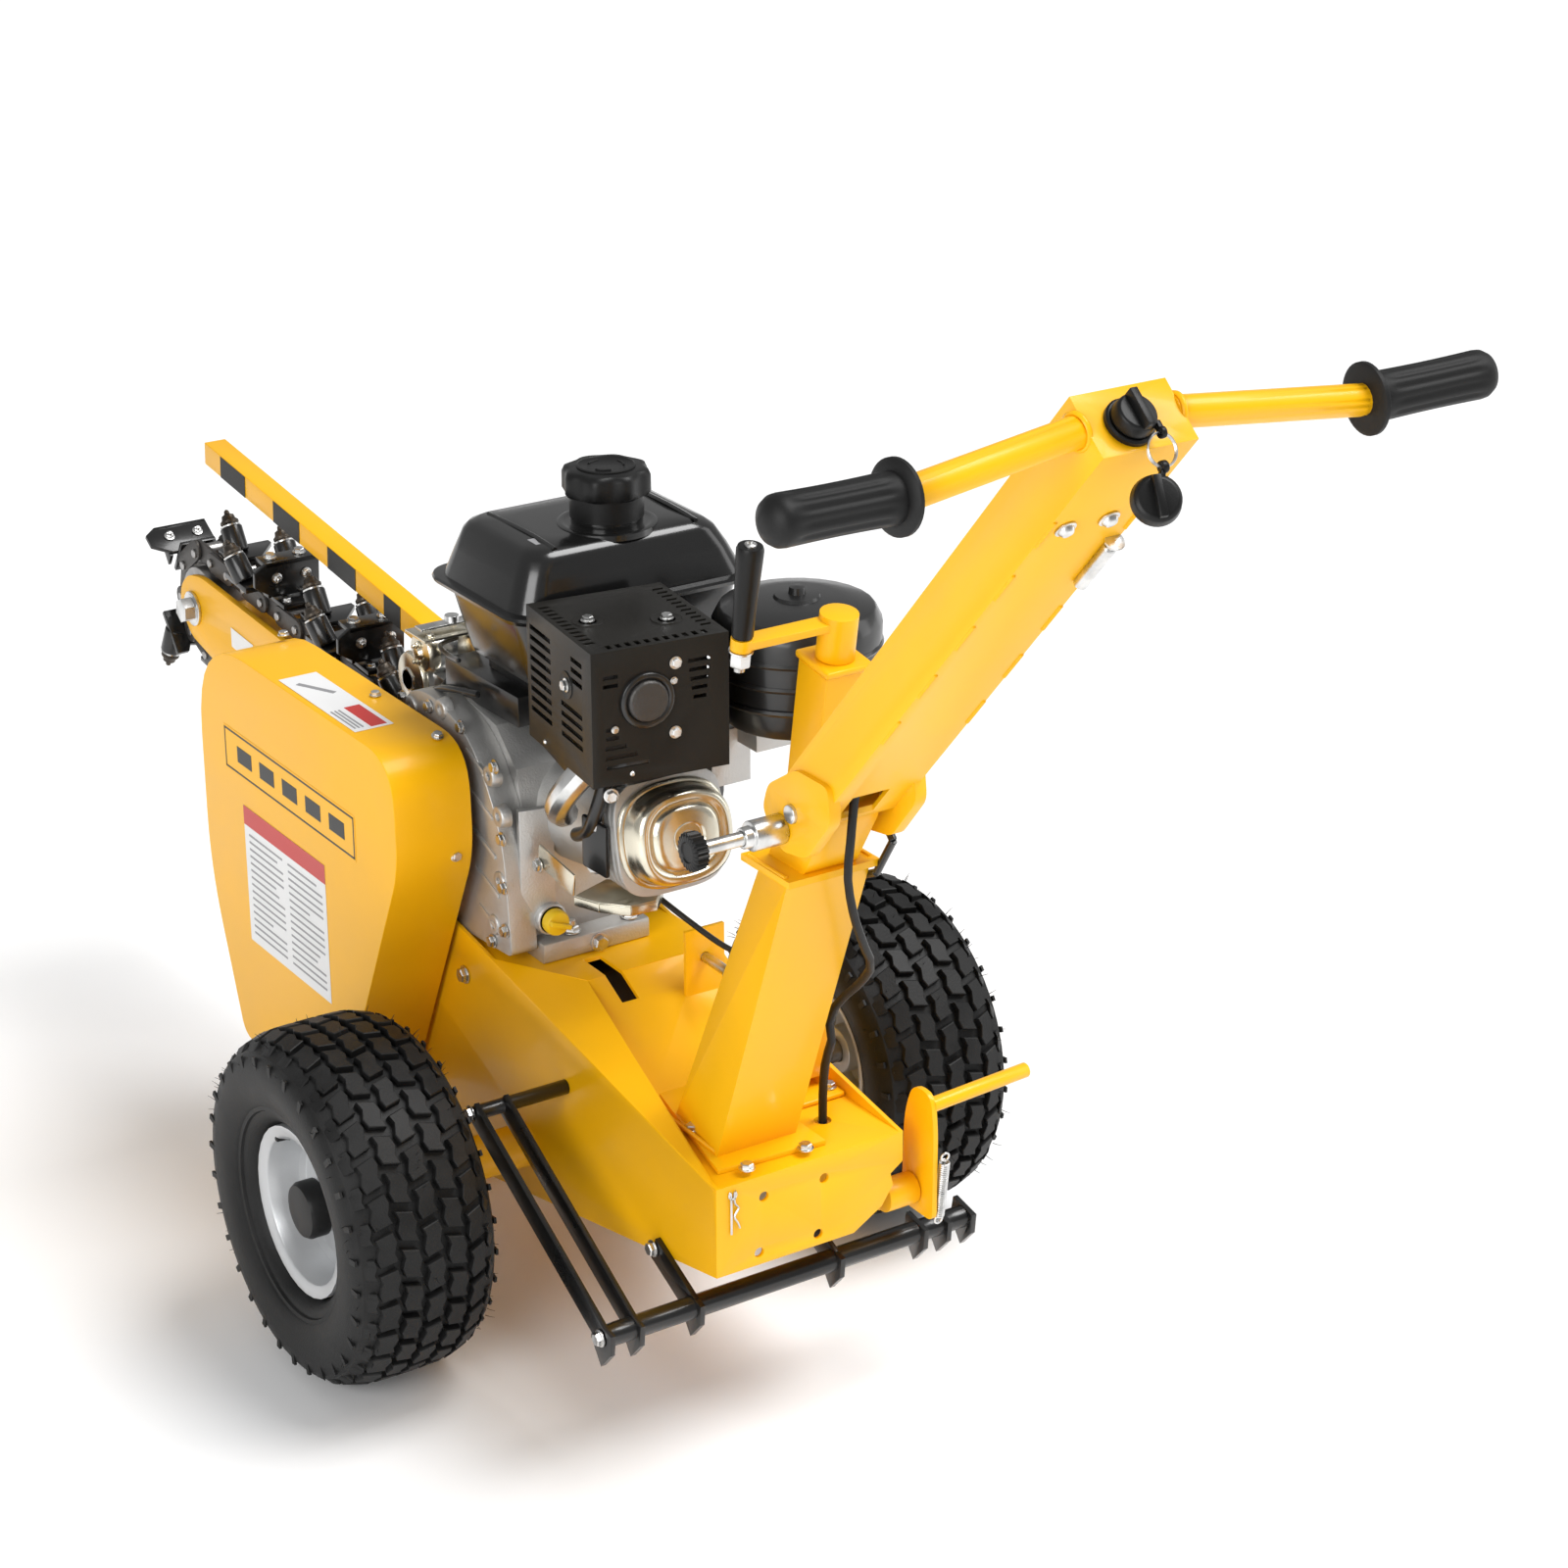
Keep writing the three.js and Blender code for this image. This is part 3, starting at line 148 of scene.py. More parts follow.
def material(name, color, rough, metal=0.0, coat=0.0, vary=0.15, grain=(300, 0.1), spots=8, gloss=0.5):
    """A shader with uneven colour and roughness at a large scale, and bump at the grain's scale."""
    m = bpy.data.materials.new(name)
    m.use_nodes = True
    nodes, links = m.node_tree.nodes, m.node_tree.links
    shader = nodes["Principled BSDF"]
    shader.inputs["Metallic"].default_value = metal
    shader.inputs["Specular IOR Level"].default_value = gloss
    shader.inputs["Coat Weight"].default_value = coat
    shader.inputs["Coat Roughness"].default_value = COAT_ROUGH
    coords = nodes.new("ShaderNodeTexCoord")
    broad = nodes.new("ShaderNodeTexNoise")
    broad.inputs["Scale"].default_value = spots
    broad.inputs["Detail"].default_value = BROAD_DETAIL
    fine = nodes.new("ShaderNodeTexNoise")
    fine.inputs["Scale"].default_value = grain[0]
    fine.inputs["Detail"].default_value = FINE_DETAIL
    for noise in (broad, fine):
        links.new(coords.outputs["Object"], noise.inputs["Vector"])
    ramp = nodes.new("ShaderNodeValToRGB")
    darker = tuple(c * (1 - vary) for c in color)
    ramp.color_ramp.elements[0].position = DARK_BELOW
    ramp.color_ramp.elements[0].color = (*darker, 1)
    ramp.color_ramp.elements[1].position = FULL_ABOVE
    ramp.color_ramp.elements[1].color = (*color, 1)
    links.new(broad.outputs["Fac"], ramp.inputs["Fac"])
    links.new(ramp.outputs["Color"], shader.inputs["Base Color"])
    spread = nodes.new("ShaderNodeMapRange")
    spread.inputs["To Min"].default_value = rough * SMOOTHEST
    spread.inputs["To Max"].default_value = min(1, rough * ROUGHEST)
    links.new(broad.outputs["Fac"], spread.inputs["Value"])
    links.new(spread.outputs["Result"], shader.inputs["Roughness"])
    bump = nodes.new("ShaderNodeBump")
    bump.inputs["Strength"].default_value = grain[1]
    bump.inputs["Distance"].default_value = GRAIN_DEPTH
    links.new(fine.outputs["Fac"], bump.inputs["Height"])
    links.new(bump.outputs["Normal"], shader.inputs["Normal"])
    return m


M = {
    "yellow": material("yellow_powder_coat", (0.93, 0.47, 0.001), 0.4, coat=0.12, gloss=0.3, vary=0.05,
            grain=(700, 0.05)),
    "black": material("black_powder_coat", (0.006, 0.006, 0.006), 0.28, coat=0.3, vary=0.4,
            grain=(700, 0.08), gloss=0.45),
    "satin": material("black_heat_paint", (0.012, 0.011, 0.009), 0.42, vary=0.3, grain=(900, 0.15),
            gloss=0.25),
    "tank": material("tank_black", (0.006, 0.006, 0.006), 0.2, coat=0.4, vary=0.2, grain=(500, 0.03),
            gloss=0.45),
    "plastic": material("black_plastic", (0.008, 0.008, 0.008), 0.38, vary=0.3, grain=(1200, 0.12),
            gloss=0.25),
    "tyre": material("tyre_rubber", (0.012, 0.012, 0.012), 0.5, vary=0.45, grain=(600, 0.25), gloss=0.25,
            spots=30),
    "rubber": material("grip_rubber", (0.009, 0.009, 0.009), 0.5, vary=0.3, grain=(1500, 0.2), gloss=0.25),
    "rim": material("rim_silver", (0.55, 0.56, 0.57), 0.38, metal=0.6, vary=0.12, grain=(800, 0.08)),
    "zinc": material("zinc_plate", (0.72, 0.72, 0.71), 0.28, metal=1, vary=0.25, grain=(500, 0.1),
            spots=60),
    "steel": material("bare_steel", (0.42, 0.41, 0.4), 0.35, metal=1, vary=0.3, grain=(900, 0.15),
            spots=40),
    "cast": material("cast_aluminium", (0.58, 0.575, 0.56), 0.45, metal=0.8, vary=0.16, grain=(450, 0.4),
            spots=14),
    "iron": material("dark_iron", (0.12, 0.115, 0.11), 0.5, metal=0.8, vary=0.4, grain=(400, 0.5)),
    "gold": material("chromate_cover", (0.76, 0.71, 0.58), 0.24, metal=1, vary=0.2, grain=(200, 0.05),
            spots=25),
    "tooth": material("tooth_steel", (0.1, 0.085, 0.07), 0.42, metal=0.85, vary=0.5, grain=(500, 0.4),
            spots=80),
    "lemon": material("yellow_plastic", (0.85, 0.55, 0.01), 0.4, vary=0.1, grain=(900, 0.1)),
    "white": material("label_white", (0.8, 0.8, 0.8), 0.4, vary=0.04, grain=(500, 0.02)),
    "red": material("label_red", (0.55, 0.035, 0.03), 0.4, vary=0.05, grain=(500, 0.02)),
    "ink": material("label_ink", (0.02, 0.02, 0.02), 0.45, vary=0.2, grain=(500, 0.02)),
    "grey": material("label_grey", (0.3, 0.3, 0.31), 0.45, vary=0.1, grain=(500, 0.02)),
    "blackgloss": material("cover_black", (0.01, 0.01, 0.01), 0.3, coat=0.3, vary=0.3, grain=(300, 0.05),
            gloss=0.45),
}


# ---------- shapes ----------
TIP = 0.02  # the least radius, so that a turned shape never closes to a point
HEAD_TURN = 0.3  # radians, so that bolt heads don't all line up with the frame
BEVEL_FROM = radians(32)  # sharper edges than this are rounded
MERGE = 2e-5  # metres
FLAT = radians(0.6)  # faces closer than this are one


def across(axis, hint=(0, 0, 1)):
    """Two directions square to an axis."""
    w = Vector(axis).normalized()
    h = Vector(hint)
    if abs(w.dot(h.normalized())) > 0.95:
        h = Vector((1, 0, 0)) if abs(w.x) < 0.9 else Vector((0, 1, 0))
    u = w.cross(h).normalized()
    return u, w.cross(u).normalized(), w


def circle(centre, u, v, radius, sides, turn=0.0):
    step = 2 * pi / sides
    c = Vector(centre)
    angles = [i * step + turn for i in range(sides)]
    return [c + u * radius * cos(a) + v * radius * sin(a) for a in angles]


def lobed(radius, wave, lobes, sides):
    """Distances across and up, round a circle whose radius swells and shrinks."""
    pairs = []
    for k in range(sides):
        a = 2 * pi * k / sides
        r = radius + wave * cos(lobes * a)
        pairs.append((r * cos(a), r * sin(a)))
    return pairs


def smooth_path(points, steps=6, closed=False):
    """A Catmull-Rom curve through the points."""
    pts = [Vector(p) for p in points]
    out = []
    count = len(pts)
    for i in range(count if closed else count - 1):
        p0 = pts[(i - 1) % count] if closed or i else pts[0]
        p1, p2 = pts[i], pts[(i + 1) % count]
        p3 = pts[(i + 2) % count] if closed or i + 2 < count else pts[-1]
        for k in range(steps):
            t = k / steps
            out.append(0.5 * (2 * p1 + (p2 - p0) * t + (2 * p0 - 5 * p1 + 4 * p2 - p3) * t * t
                              + (3 * p1 - p0 - 3 * p2 + p3) * t ** 3))
    if not closed:
        out.append(pts[-1])
    return out


class Piece:
    """Closed shapes of one material that make one object."""

    def __init__(self):
        self.bm = bmesh.new()

    def loft(self, rings, closed=False):
        loops = [[self.bm.verts.new(p) for p in ring] for ring in rings]
        spans = len(loops) if closed else len(loops) - 1
        n = len(loops[0])
        for i in range(spans):
            a, b = loops[i], loops[(i + 1) % len(loops)]
            for k in range(n):
                self.bm.faces.new((a[k], a[(k + 1) % n], b[(k + 1) % n], b[k]))
        if not closed:
            self.bm.faces.new(loops[0][::-1])
            self.bm.faces.new(loops[-1])
        return self

    def lathe(self, centre, axis, profile, sides=32, turn=0.0, closed=False):
        """A profile of (radius, distance along the axis) pairs turned about the axis."""
        u, v, w = across(axis)
        c = Vector(centre)
        rings = [circle(c + w * d, u, v, max(r, TIP), sides, turn) for r, d in profile]
        return self.loft(rings, closed=closed)

    def rod(self, a, b, radius, sides=20, chamfer=0.0):
        a, b = Vector(a), Vector(b)
        length = (b - a).length
        profile = [(radius, 0), (radius, length)]
        if chamfer:
            profile = [(radius - chamfer, 0), (radius, chamfer), (radius, length - chamfer),
                       (radius - chamfer, length)]
        return self.lathe(a, b - a, profile, sides)

    def tube(self, points, radius, sides=8, steps=6, closed=False, taper=None):
        path = smooth_path(points, steps, closed) if steps > 1 else [Vector(p) for p in points]
        count = len(path)
        rings, u = [], None
        for i, p in enumerate(path):
            before = path[(i - 1) % count] if closed or i else path[0]
            after = path[(i + 1) % count] if closed or i + 1 < count else path[-1]
            w = (after - before).normalized()
            if u is None:
                u = across(w)[0]
            u = (u - w * u.dot(w)).normalized()
            r = radius * (taper(i / (count - 1)) if taper else 1)
            rings.append(circle(p, u, w.cross(u), r, sides))
        return self.loft(rings, closed=closed)

    def prism(self, points, push):
        pts = [Vector(p) for p in points]
        return self.loft([pts, [p + Vector(push) for p in pts]])

    def slab(self, centre, u, v, size, thick):
        """A flat block: its centre, two directions of its face, its size along them and its thickness."""
        u, v = Vector(u).normalized(), Vector(v).normalized()
        w = u.cross(v)
        c = Vector(centre) - w * thick / 2
        a, b = size[0] / 2, size[1] / 2
        return self.prism([c - u * a - v * b, c + u * a - v * b, c + u * a + v * b, c - u * a + v * b],
                w * thick)

    def bolt(self, at, axis, size=6, washer=True):
        """A hexagon head on its washer. Size is the thread's diameter."""
        w = Vector(axis).normalized()
        base = Vector(at)
        if washer:
            self.lathe(base, w, [(size, 0), (size * 1.15, 0.3), (size * 1.15, 1.2), (size * 0.9, 1.6)], 20)
            base = base + w * 1.4
        r, h = size * 0.92, size * 0.65
        self.lathe(base, w, [(r, 0), (r, h * 0.8), (r * 0.84, h), (r * 0.5, h * 0.97)], 6, HEAD_TURN)
        return self

    def nut(self, at, axis, size=6, stud=5):
        self.bolt(at, axis, size)
        w = Vector(axis).normalized()
        top = Vector(at) + w * (size * 0.65 + 1)
        return self.rod(top, top + w * stud, size / 2, 12, 0.6)

    def weld(self, a, b, size=3.0):
        """A bead of overlapping ripples from a to b."""
        a, b = Vector(a), Vector(b)
        count = max(3, int((b - a).length / (size * 0.9)))
        u, v, _ = across(b - a)
        rings = []
        for i in range(count * 3 + 1):
            swell = (0.72, 1.0, 0.94)[i % 3] * (0.5 if i in (0, count * 3) else 1)
            rings.append(circle(a.lerp(b, i / (count * 3)), u, v, size * swell, 8))
        return self.loft(rings)

    def done(self, name, body, look, slot, bevel=0.0, replaces=(), angle=35, segments=2):
        for vert in self.bm.verts:
            vert.co = place(vert.co)
        bmesh.ops.recalc_face_normals(self.bm, faces=self.bm.faces[:])
        mesh = bpy.data.meshes.new(name)
        self.bm.to_mesh(mesh)
        self.bm.free()
        return finish_piece(name, mesh, body, look, bevel, replaces, angle, segments)


def finish_piece(name, mesh, body, look, bevel, replaces, angle, segments=2, cutter=None):
    obj = bpy.data.objects.new(name, mesh)
    bpy.context.scene.collection.objects.link(obj)
    if cutter:
        boolean = obj.modifiers.new("cut", "BOOLEAN")
        boolean.operation = "DIFFERENCE"
        boolean.solver = "EXACT"
        boolean.use_self = True
        boolean.object = cutter
    if bevel:
        edge = obj.modifiers.new("bevel", "BEVEL")
        edge.width = bevel / 1000
        edge.segments = segments
        edge.limit_method = "ANGLE"
        edge.angle_limit = BEVEL_FROM
    if bevel or cutter:
        graph = bpy.context.evaluated_depsgraph_get()
        final = bpy.data.meshes.new_from_object(obj.evaluated_get(graph))
        obj.modifiers.clear()
        obj.data = final
    mesh = obj.data
    mesh.materials.clear()
    mesh.materials.append(M[look])
    for polygon in mesh.polygons:
        polygon.use_smooth = True
    mesh.set_sharp_from_angle(angle=radians(angle))
    if body:
        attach(obj, body)
    if replaces:
        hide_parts(*replaces)
    return obj


BODY_OF = {node: body for body, nodes in frame["record"]["behaviour"]["bodies"].items() for node in nodes}


def refine(node, look, bevel=1.0, angle=35, cutter=None, segments=2, free=False):
    """The CAD node's own shape with its edges rounded and its curves shaded smooth."""
    bm = bmesh.new()
    bm.from_mesh(frame["nodes"][node].data)
    bmesh.ops.remove_doubles(bm, verts=bm.verts[:], dist=MERGE)
    bmesh.ops.dissolve_limit(bm, angle_limit=FLAT, verts=bm.verts[:], edges=bm.edges[:])
    mesh = bpy.data.meshes.new(node + "_skin")
    bm.to_mesh(mesh)
    bm.free()
    body = None if free else BODY_OF[node]
    return finish_piece(node + "_skin", mesh, body, look, bevel, (node,), angle, segments,
            cutter)


def knife(build):
    """Turns a Piece into a cutting tool that is removed again by drop()."""
    for vert in build.bm.verts:
        vert.co = place(vert.co)
    bmesh.ops.recalc_face_normals(build.bm, faces=build.bm.faces[:])
    mesh = bpy.data.meshes.new("knife")
    build.bm.to_mesh(mesh)
    build.bm.free()
    obj = bpy.data.objects.new("knife", mesh)
    bpy.context.scene.collection.objects.link(obj)
    return obj


def drop(obj):
    bpy.data.objects.remove(obj)


# ---------- frame, straps and other painted plates ----------
def plates():
    for node, bevel in {"chassis": 1.6, "lower_column": 1.5, "upper_column": 1.5, "boom_frame": 1.2,
            "crank_post": 2,
                        "crank_arm": 0.8, "parking_stand": 1.5, "lock_pedal": 1.0}.items():
        refine(node, "yellow", bevel)
    refine("belt_guard", "yellow", 7, segments=4)
    refine("anchor_frame", "black", 0.8)
    for node in ("axle", "drive_shaft", "drive_sprocket", "nose_roller", "crankshaft_pulley"):
        refine(node, "steel", 0.8)
    for node in ("driven_pulley", "shaft_bearing_left", "shaft_bearing_right"):
        refine(node, "iron", 0.8)
    for node in ("crankcase", "side_cover", "carburettor"):
        refine(node, "cast", 3)
    for node in ("tilt_bolt", "lock_pin_barrel", "nose_bolt", "throttle_lever", "starter_motor"):
        refine(node, "zinc", 0.8)
    refine("exhaust_pipe", "zinc", 0.5, angle=60)
    refine("muffler", "iron", 3)
    refine("drive_belt", "rubber", 0.8)
    refine("battery", "plastic", 3)
    refine("recoil_housing", "plastic", 1.5)
    refine("recoil_handle", "plastic", 2)
    refine("air_cleaner", "blackgloss", 2, angle=50)


plates()


# ---------- wheels ----------
HUB_HEIGHT, HUB_SIDE = 168, 283
CROWN_FLAT, SHOULDER = 34, 63  # distances from the tyre's middle
BLOCKS_ROUND = 30
TREAD_ARC = 165  # the radius that the blocks' lengths are taken at
HAIRS = 150


def crown(y):
    """The tread's radius at a distance from the wheel's middle."""
    a = abs(y)
    if a < CROWN_FLAT:
        return 167.6 - 0.6 * (a / CROWN_FLAT) ** 2
    if a < SHOULDER:
        return 167 - 9.6 * ((a - CROWN_FLAT) / (SHOULDER - CROWN_FLAT)) ** 1.3
    return 157.4 - 23 * (a - SHOULDER) / 8


def tread_block(piece, hub, angle, row, length, width, twist):
    outline = [(-0.5, -0.42), (-0.16, -0.56), (0.2, -0.36), (0.5, -0.5), (0.5, 0.4), (0.18, 0.56),
            (-0.2, 0.36), (-0.5, 0.5)]
    rings = []
    for depth, inset in ((7.5, 1.04), (0.7, 1.0), (0, 0.93)):
        ring = []
        for s, t in outline:
            y = row + t * width * inset
            arc = angle + (s * length * inset + twist * t * width) / TREAD_ARC
            r = crown(y) - depth
            ring.append(hub + vec(r * cos(arc), y, r * sin(arc)))
        rings.append(ring)
    piece.loft(rings)


def wheel(side, sign):
    hub = vec(0, sign * HUB_SIDE, HUB_HEIGHT)
    axis = vec(0, sign, 0)
    tyre = Piece()
    section = [(82.4, -46), (86, -54), (93, -60), (97, -61), (98, -63.5), (102, -64), (104, -66),
            (120, -70.5),
               (134, -71.5), (146, -69), (152, -65), (158, -50), (160, -30), (160.4, 0)]
    section = section + [(r, -y) for r, y in reversed(section[:-1])]
    profile = section + [(82.4, 40), (90.2, 30), (90.2, -30), (82.4, -40)]
    tyre.lathe(hub, axis, profile, 72, closed=True)
    step = 2 * pi / BLOCKS_ROUND
    rows = ((0, 27, 17, 0.25), (22.5, 26, 17, -0.25), (-22.5, 26, 17, -0.25), (44, 27, 17, 0.3),
            (-44, 27, 17, 0.3))
    for k in range(BLOCKS_ROUND):
        for i, (row, length, width, twist) in enumerate(rows):
            shift = 0.5 * step if i in (1, 2) else 0
            tread_block(tyre, hub, k * step + shift, row, length, width, twist)
        for row in (61, -61):
            tread_block(tyre, hub, k * step + 0.5 * step, row, 21, 12.5, 0.1)
        for half in (1, -1):
            a = k * step + 0.25 * step
            u = vec(cos(a), 0, sin(a))
            t = vec(-sin(a), 0, cos(a))
            base = hub + u * 143 + vec(0, half * 69.3, 0)
            tyre.slab(base, u, t, (15, 5.5), 2.4)
    for _ in range(HAIRS):
        a = random.uniform(0, 2 * pi)
        if 1.25 * pi < a < 1.75 * pi:
            continue
        y = random.choice((-66, -60, -50, 0, 50, 60, 66, 69)) + random.uniform(-3, 3)
        r = crown(y) - 1
        u = vec(cos(a), 0, sin(a))
        lean = vec(random.uniform(-0.3, 0.3), (y / 70) * 0.8, random.uniform(-0.3, 0.3))
        foot = hub + u * r + vec(0, y, 0)
        tip = (u + lean).normalized() * random.uniform(4, 9)
        tyre.tube([foot, foot + tip * 0.5, foot + tip + lean], 0.45, 4, 2, taper=lambda t: 1 - 0.7 * t)
    body = "wheel_" + side
    tyre.done("tyre_" + side + "_tread", body, "tyre", "tyre_rubber", 0, ("tyre_" + side,), 30)
    refine("rim_" + side, "rim", 1.2)
    cap = Piece()
    cap.lathe(hub, axis, [(27, 32.4), (27, 47), (24.5, 51), (18, 52.4), (0, 52.8)], 32)
    cap.done("hub_cap_" + side, body, "plastic", "black_plastic")
    valve = Piece()
    valve.lathe(hub + vec(70 * cos(0.9), sign * 38, 70 * sin(0.9)), axis,
            [(4.5, 0), (3.5, 3), (3, 12), (2, 13)], 12)
    valve.done("valve_stem_" + side, body, "rubber", "rubber")


# ---------- handlebar ----------
TOP = vec(-774, 30, 1062)
AXIS = vec(-333, 0, 381).normalized()  # up the upper column
OUT = vec(0.753, 0, 0.658)  # square to it, out of its upper face


def handle_point(reach, sign):
    first = min(reach - 42, 158)
    rest = max(reach - 200, 0)
    return vec(-765 - 0.109 * first - 0.093 * rest, 30 + sign * reach, 1057 - 0.083 * first + 0.045 * rest)


def grip(side, sign):
    start, end = handle_point(202.5, sign), handle_point(318, sign)
    u, v, w = across(end - start)
    length = (end - start).length
    piece = Piece()
    piece.lathe(start, w, [(14, 0), (24, 0), (27, 1.5), (27, 4.5), (24.5, 6.5), (18.5, 7.5)], 40)
    rings = []
    sides = 72
    for i in range(25):
        t = i / 24
        mask = max(0, min(1, (t - 0.1) * 14, (0.86 - t) * 12))
        r0 = 18.6 - 0.9 * sin(pi * t)
        if t > 0.9:
            r0 = 18 * sqrt(max(0.02, 1 - ((t - 0.9) / 0.105) ** 2 * 0.92))
        ring = []
        for k in range(sides):
            a = 2 * pi * k / sides
            groove = max(0, cos(12 * a)) ** 0.7
            r = r0 - 1.5 * groove * mask
            ring.append(start + w * (4 + t * (length - 6)) + u * r * cos(a) + v * r * sin(a))
        rings.append(ring)
    piece.loft(rings)
    piece.done("grip_" + side + "_ribbed", "handlebar", "rubber", "rubber", 0, ("grip_" + side,), 50)


def column_trim():
    welds = Piece()
    for y in (-11, 72):
        welds.weld(vec(-404, y, 586), vec(-346, y, 586), 2.2)
    for y in (-8, 68):
        welds.weld(vec(-288, y, 280), vec(-205, y, 280), 2.4)
    welds.weld(vec(-203, -12, 281), vec(-203, 54, 281), 2.4)
    welds.done("column_welds", "machine", "yellow", "yellow_paint", angle=60)
    top = Piece()
    for sign in (1, -1):
        root = handle_point(43, sign)
        u, v, _ = across(handle_point(80, sign) - root)
        angles = [i * pi / 8 for i in range(16)]
        bead = [root + u * 13 * cos(a) + v * 13 * sin(a) for a in angles]
        top.tube(bead, 2.3, 6, 2, closed=True)
    for k in range(5):
        b = TOP - AXIS * (80 + 70 * k) - OUT * 26
        top.weld(b + vec(0, 40, 0), b - AXIS * 34 + vec(0, 40, 0), 1.8)
        top.weld(b + vec(0, -40, 0), b - AXIS * 34 + vec(0, -40, 0), 1.8)
    top.done("column_welds_upper", "handlebar", "yellow", "yellow_paint", angle=60)
    zinc = Piece()
    for at in (vec(-733, 55, 975), vec(-734, 17, 976)):
        zinc.lathe(at + OUT * -0.2, -OUT, [(8.5, 0), (8.5, 1), (6.5, 1.4), (6.2, 3), (4.5, 5), (0.5, 5.8)],
                24)
    low = TOP - AXIS * 130 - OUT * 30 + vec(0, -34, 0)
    zinc.rod(low, low - AXIS * 52, 5.5, 18, 1)
    zinc.nut(low + AXIS * 8, -AXIS, 7, 3)
    zinc.bolt(vec(-419, 72.6, 650), vec(0, 1, 0), 8)
    zinc.done("column_fasteners", "handlebar", "zinc", "zinc")


def switch():
    at = TOP + vec(0, 8, 0) - OUT * 4
    housing = Piece()
    housing.lathe(at, AXIS, [(15, -2), (15, 0.4), (19, 0.5), (19, 4), (17.5, 5.2), (16.4, 5.2),
            (16.4, 3.6), (7, 3.6)], 40)
    housing.done("switch_bezel", "handlebar", "plastic", "black_plastic", 0, ("key_switch",))
    knob = Piece()
    knob.lathe(at, AXIS, [(6, -20), (6, 5.4), (16, 5.4), (16.4, 8), (15.2, 15.5), (13.5, 17), (0, 17)], 40)
    knob.slab(at + AXIS * 19.5, OUT, AXIS, (30, 9), 6.5)
    knob.slab(at - OUT * 13.5 + AXIS * 13 + vec(0, -12, 0), OUT, AXIS, (9, 5.5), 4)
    lug = at - OUT * 18 + AXIS * 13 + vec(0, -12, 0)
    knob.lathe(lug - vec(0, 2, 0), vec(0, 1, 0), [(2.1, 0), (4.4, 0), (4.4, 4), (2.1, 4)], 20, closed=True)
    knob.done("switch_knob", "key", "plastic", "black_plastic", 0.8, ("switch_key",))
    hang = vec(-0.43, 0.25, -0.87).normalized()
    side = vec(0, 1, 0) - hang * hang.y
    side.normalize()

    def wire(centre, first):
        angles = [i * pi / 8 for i in range(first, 16)]
        return [centre + (-hang * cos(a) + side * sin(a)) * 12 for a in angles]

    ring = Piece()
    ring.tube(wire(lug + hang * 12, 0), 0.8, 8, 3, closed=True)
    face = hang.cross(side)
    ring.tube(wire(lug + face * 1.5 + hang * 12, 4), 0.8, 8, 3)
    ring.done("key_ring", "spare", "zinc", "black_plastic")
    spare = Piece()
    foot = lug + hang * 24
    middle = foot + vec(-10, 12, -18)
    w = vec(-0.75, 0.35, 0.55).normalized()
    spare.lathe(middle - w * 10, w, [(12, 0), (17, 1.5), (18.5, 4), (17, 12), (14, 14), (0, 14)], 36)
    _, v, w = across(w, (0.2, 0, 1))
    spare.slab(middle + w * 6, v, w, (30, 9), 6)
    spare.lathe(foot - vec(0, 2.5, 0), vec(0, 1, 0), [(1.6, 0), (4.6, 0), (4.6, 5), (1.6, 5)], 20,
            closed=True)
    spare.slab(foot.lerp(middle, 0.3), middle - foot, vec(0, 1, 0), (16, 5), 5)
    spare.done("spare_knob", "spare", "plastic", "black_plastic", 0.8, ("spare_key",))


# ---------- engine ----------
def rounded_ring(cx, cy, z, hx, hy, r, n=6):
    ring = []
    for sx, sy, start in ((1, 1, 0), (-1, 1, 90), (-1, -1, 180), (1, -1, 270)):
        for k in range(n + 1):
            a = radians(start + 90 * k / n)
            ring.append(vec(cx + sx * (hx - r) + r * cos(a), cy + sy * (hy - r) + r * sin(a), z))
    return ring


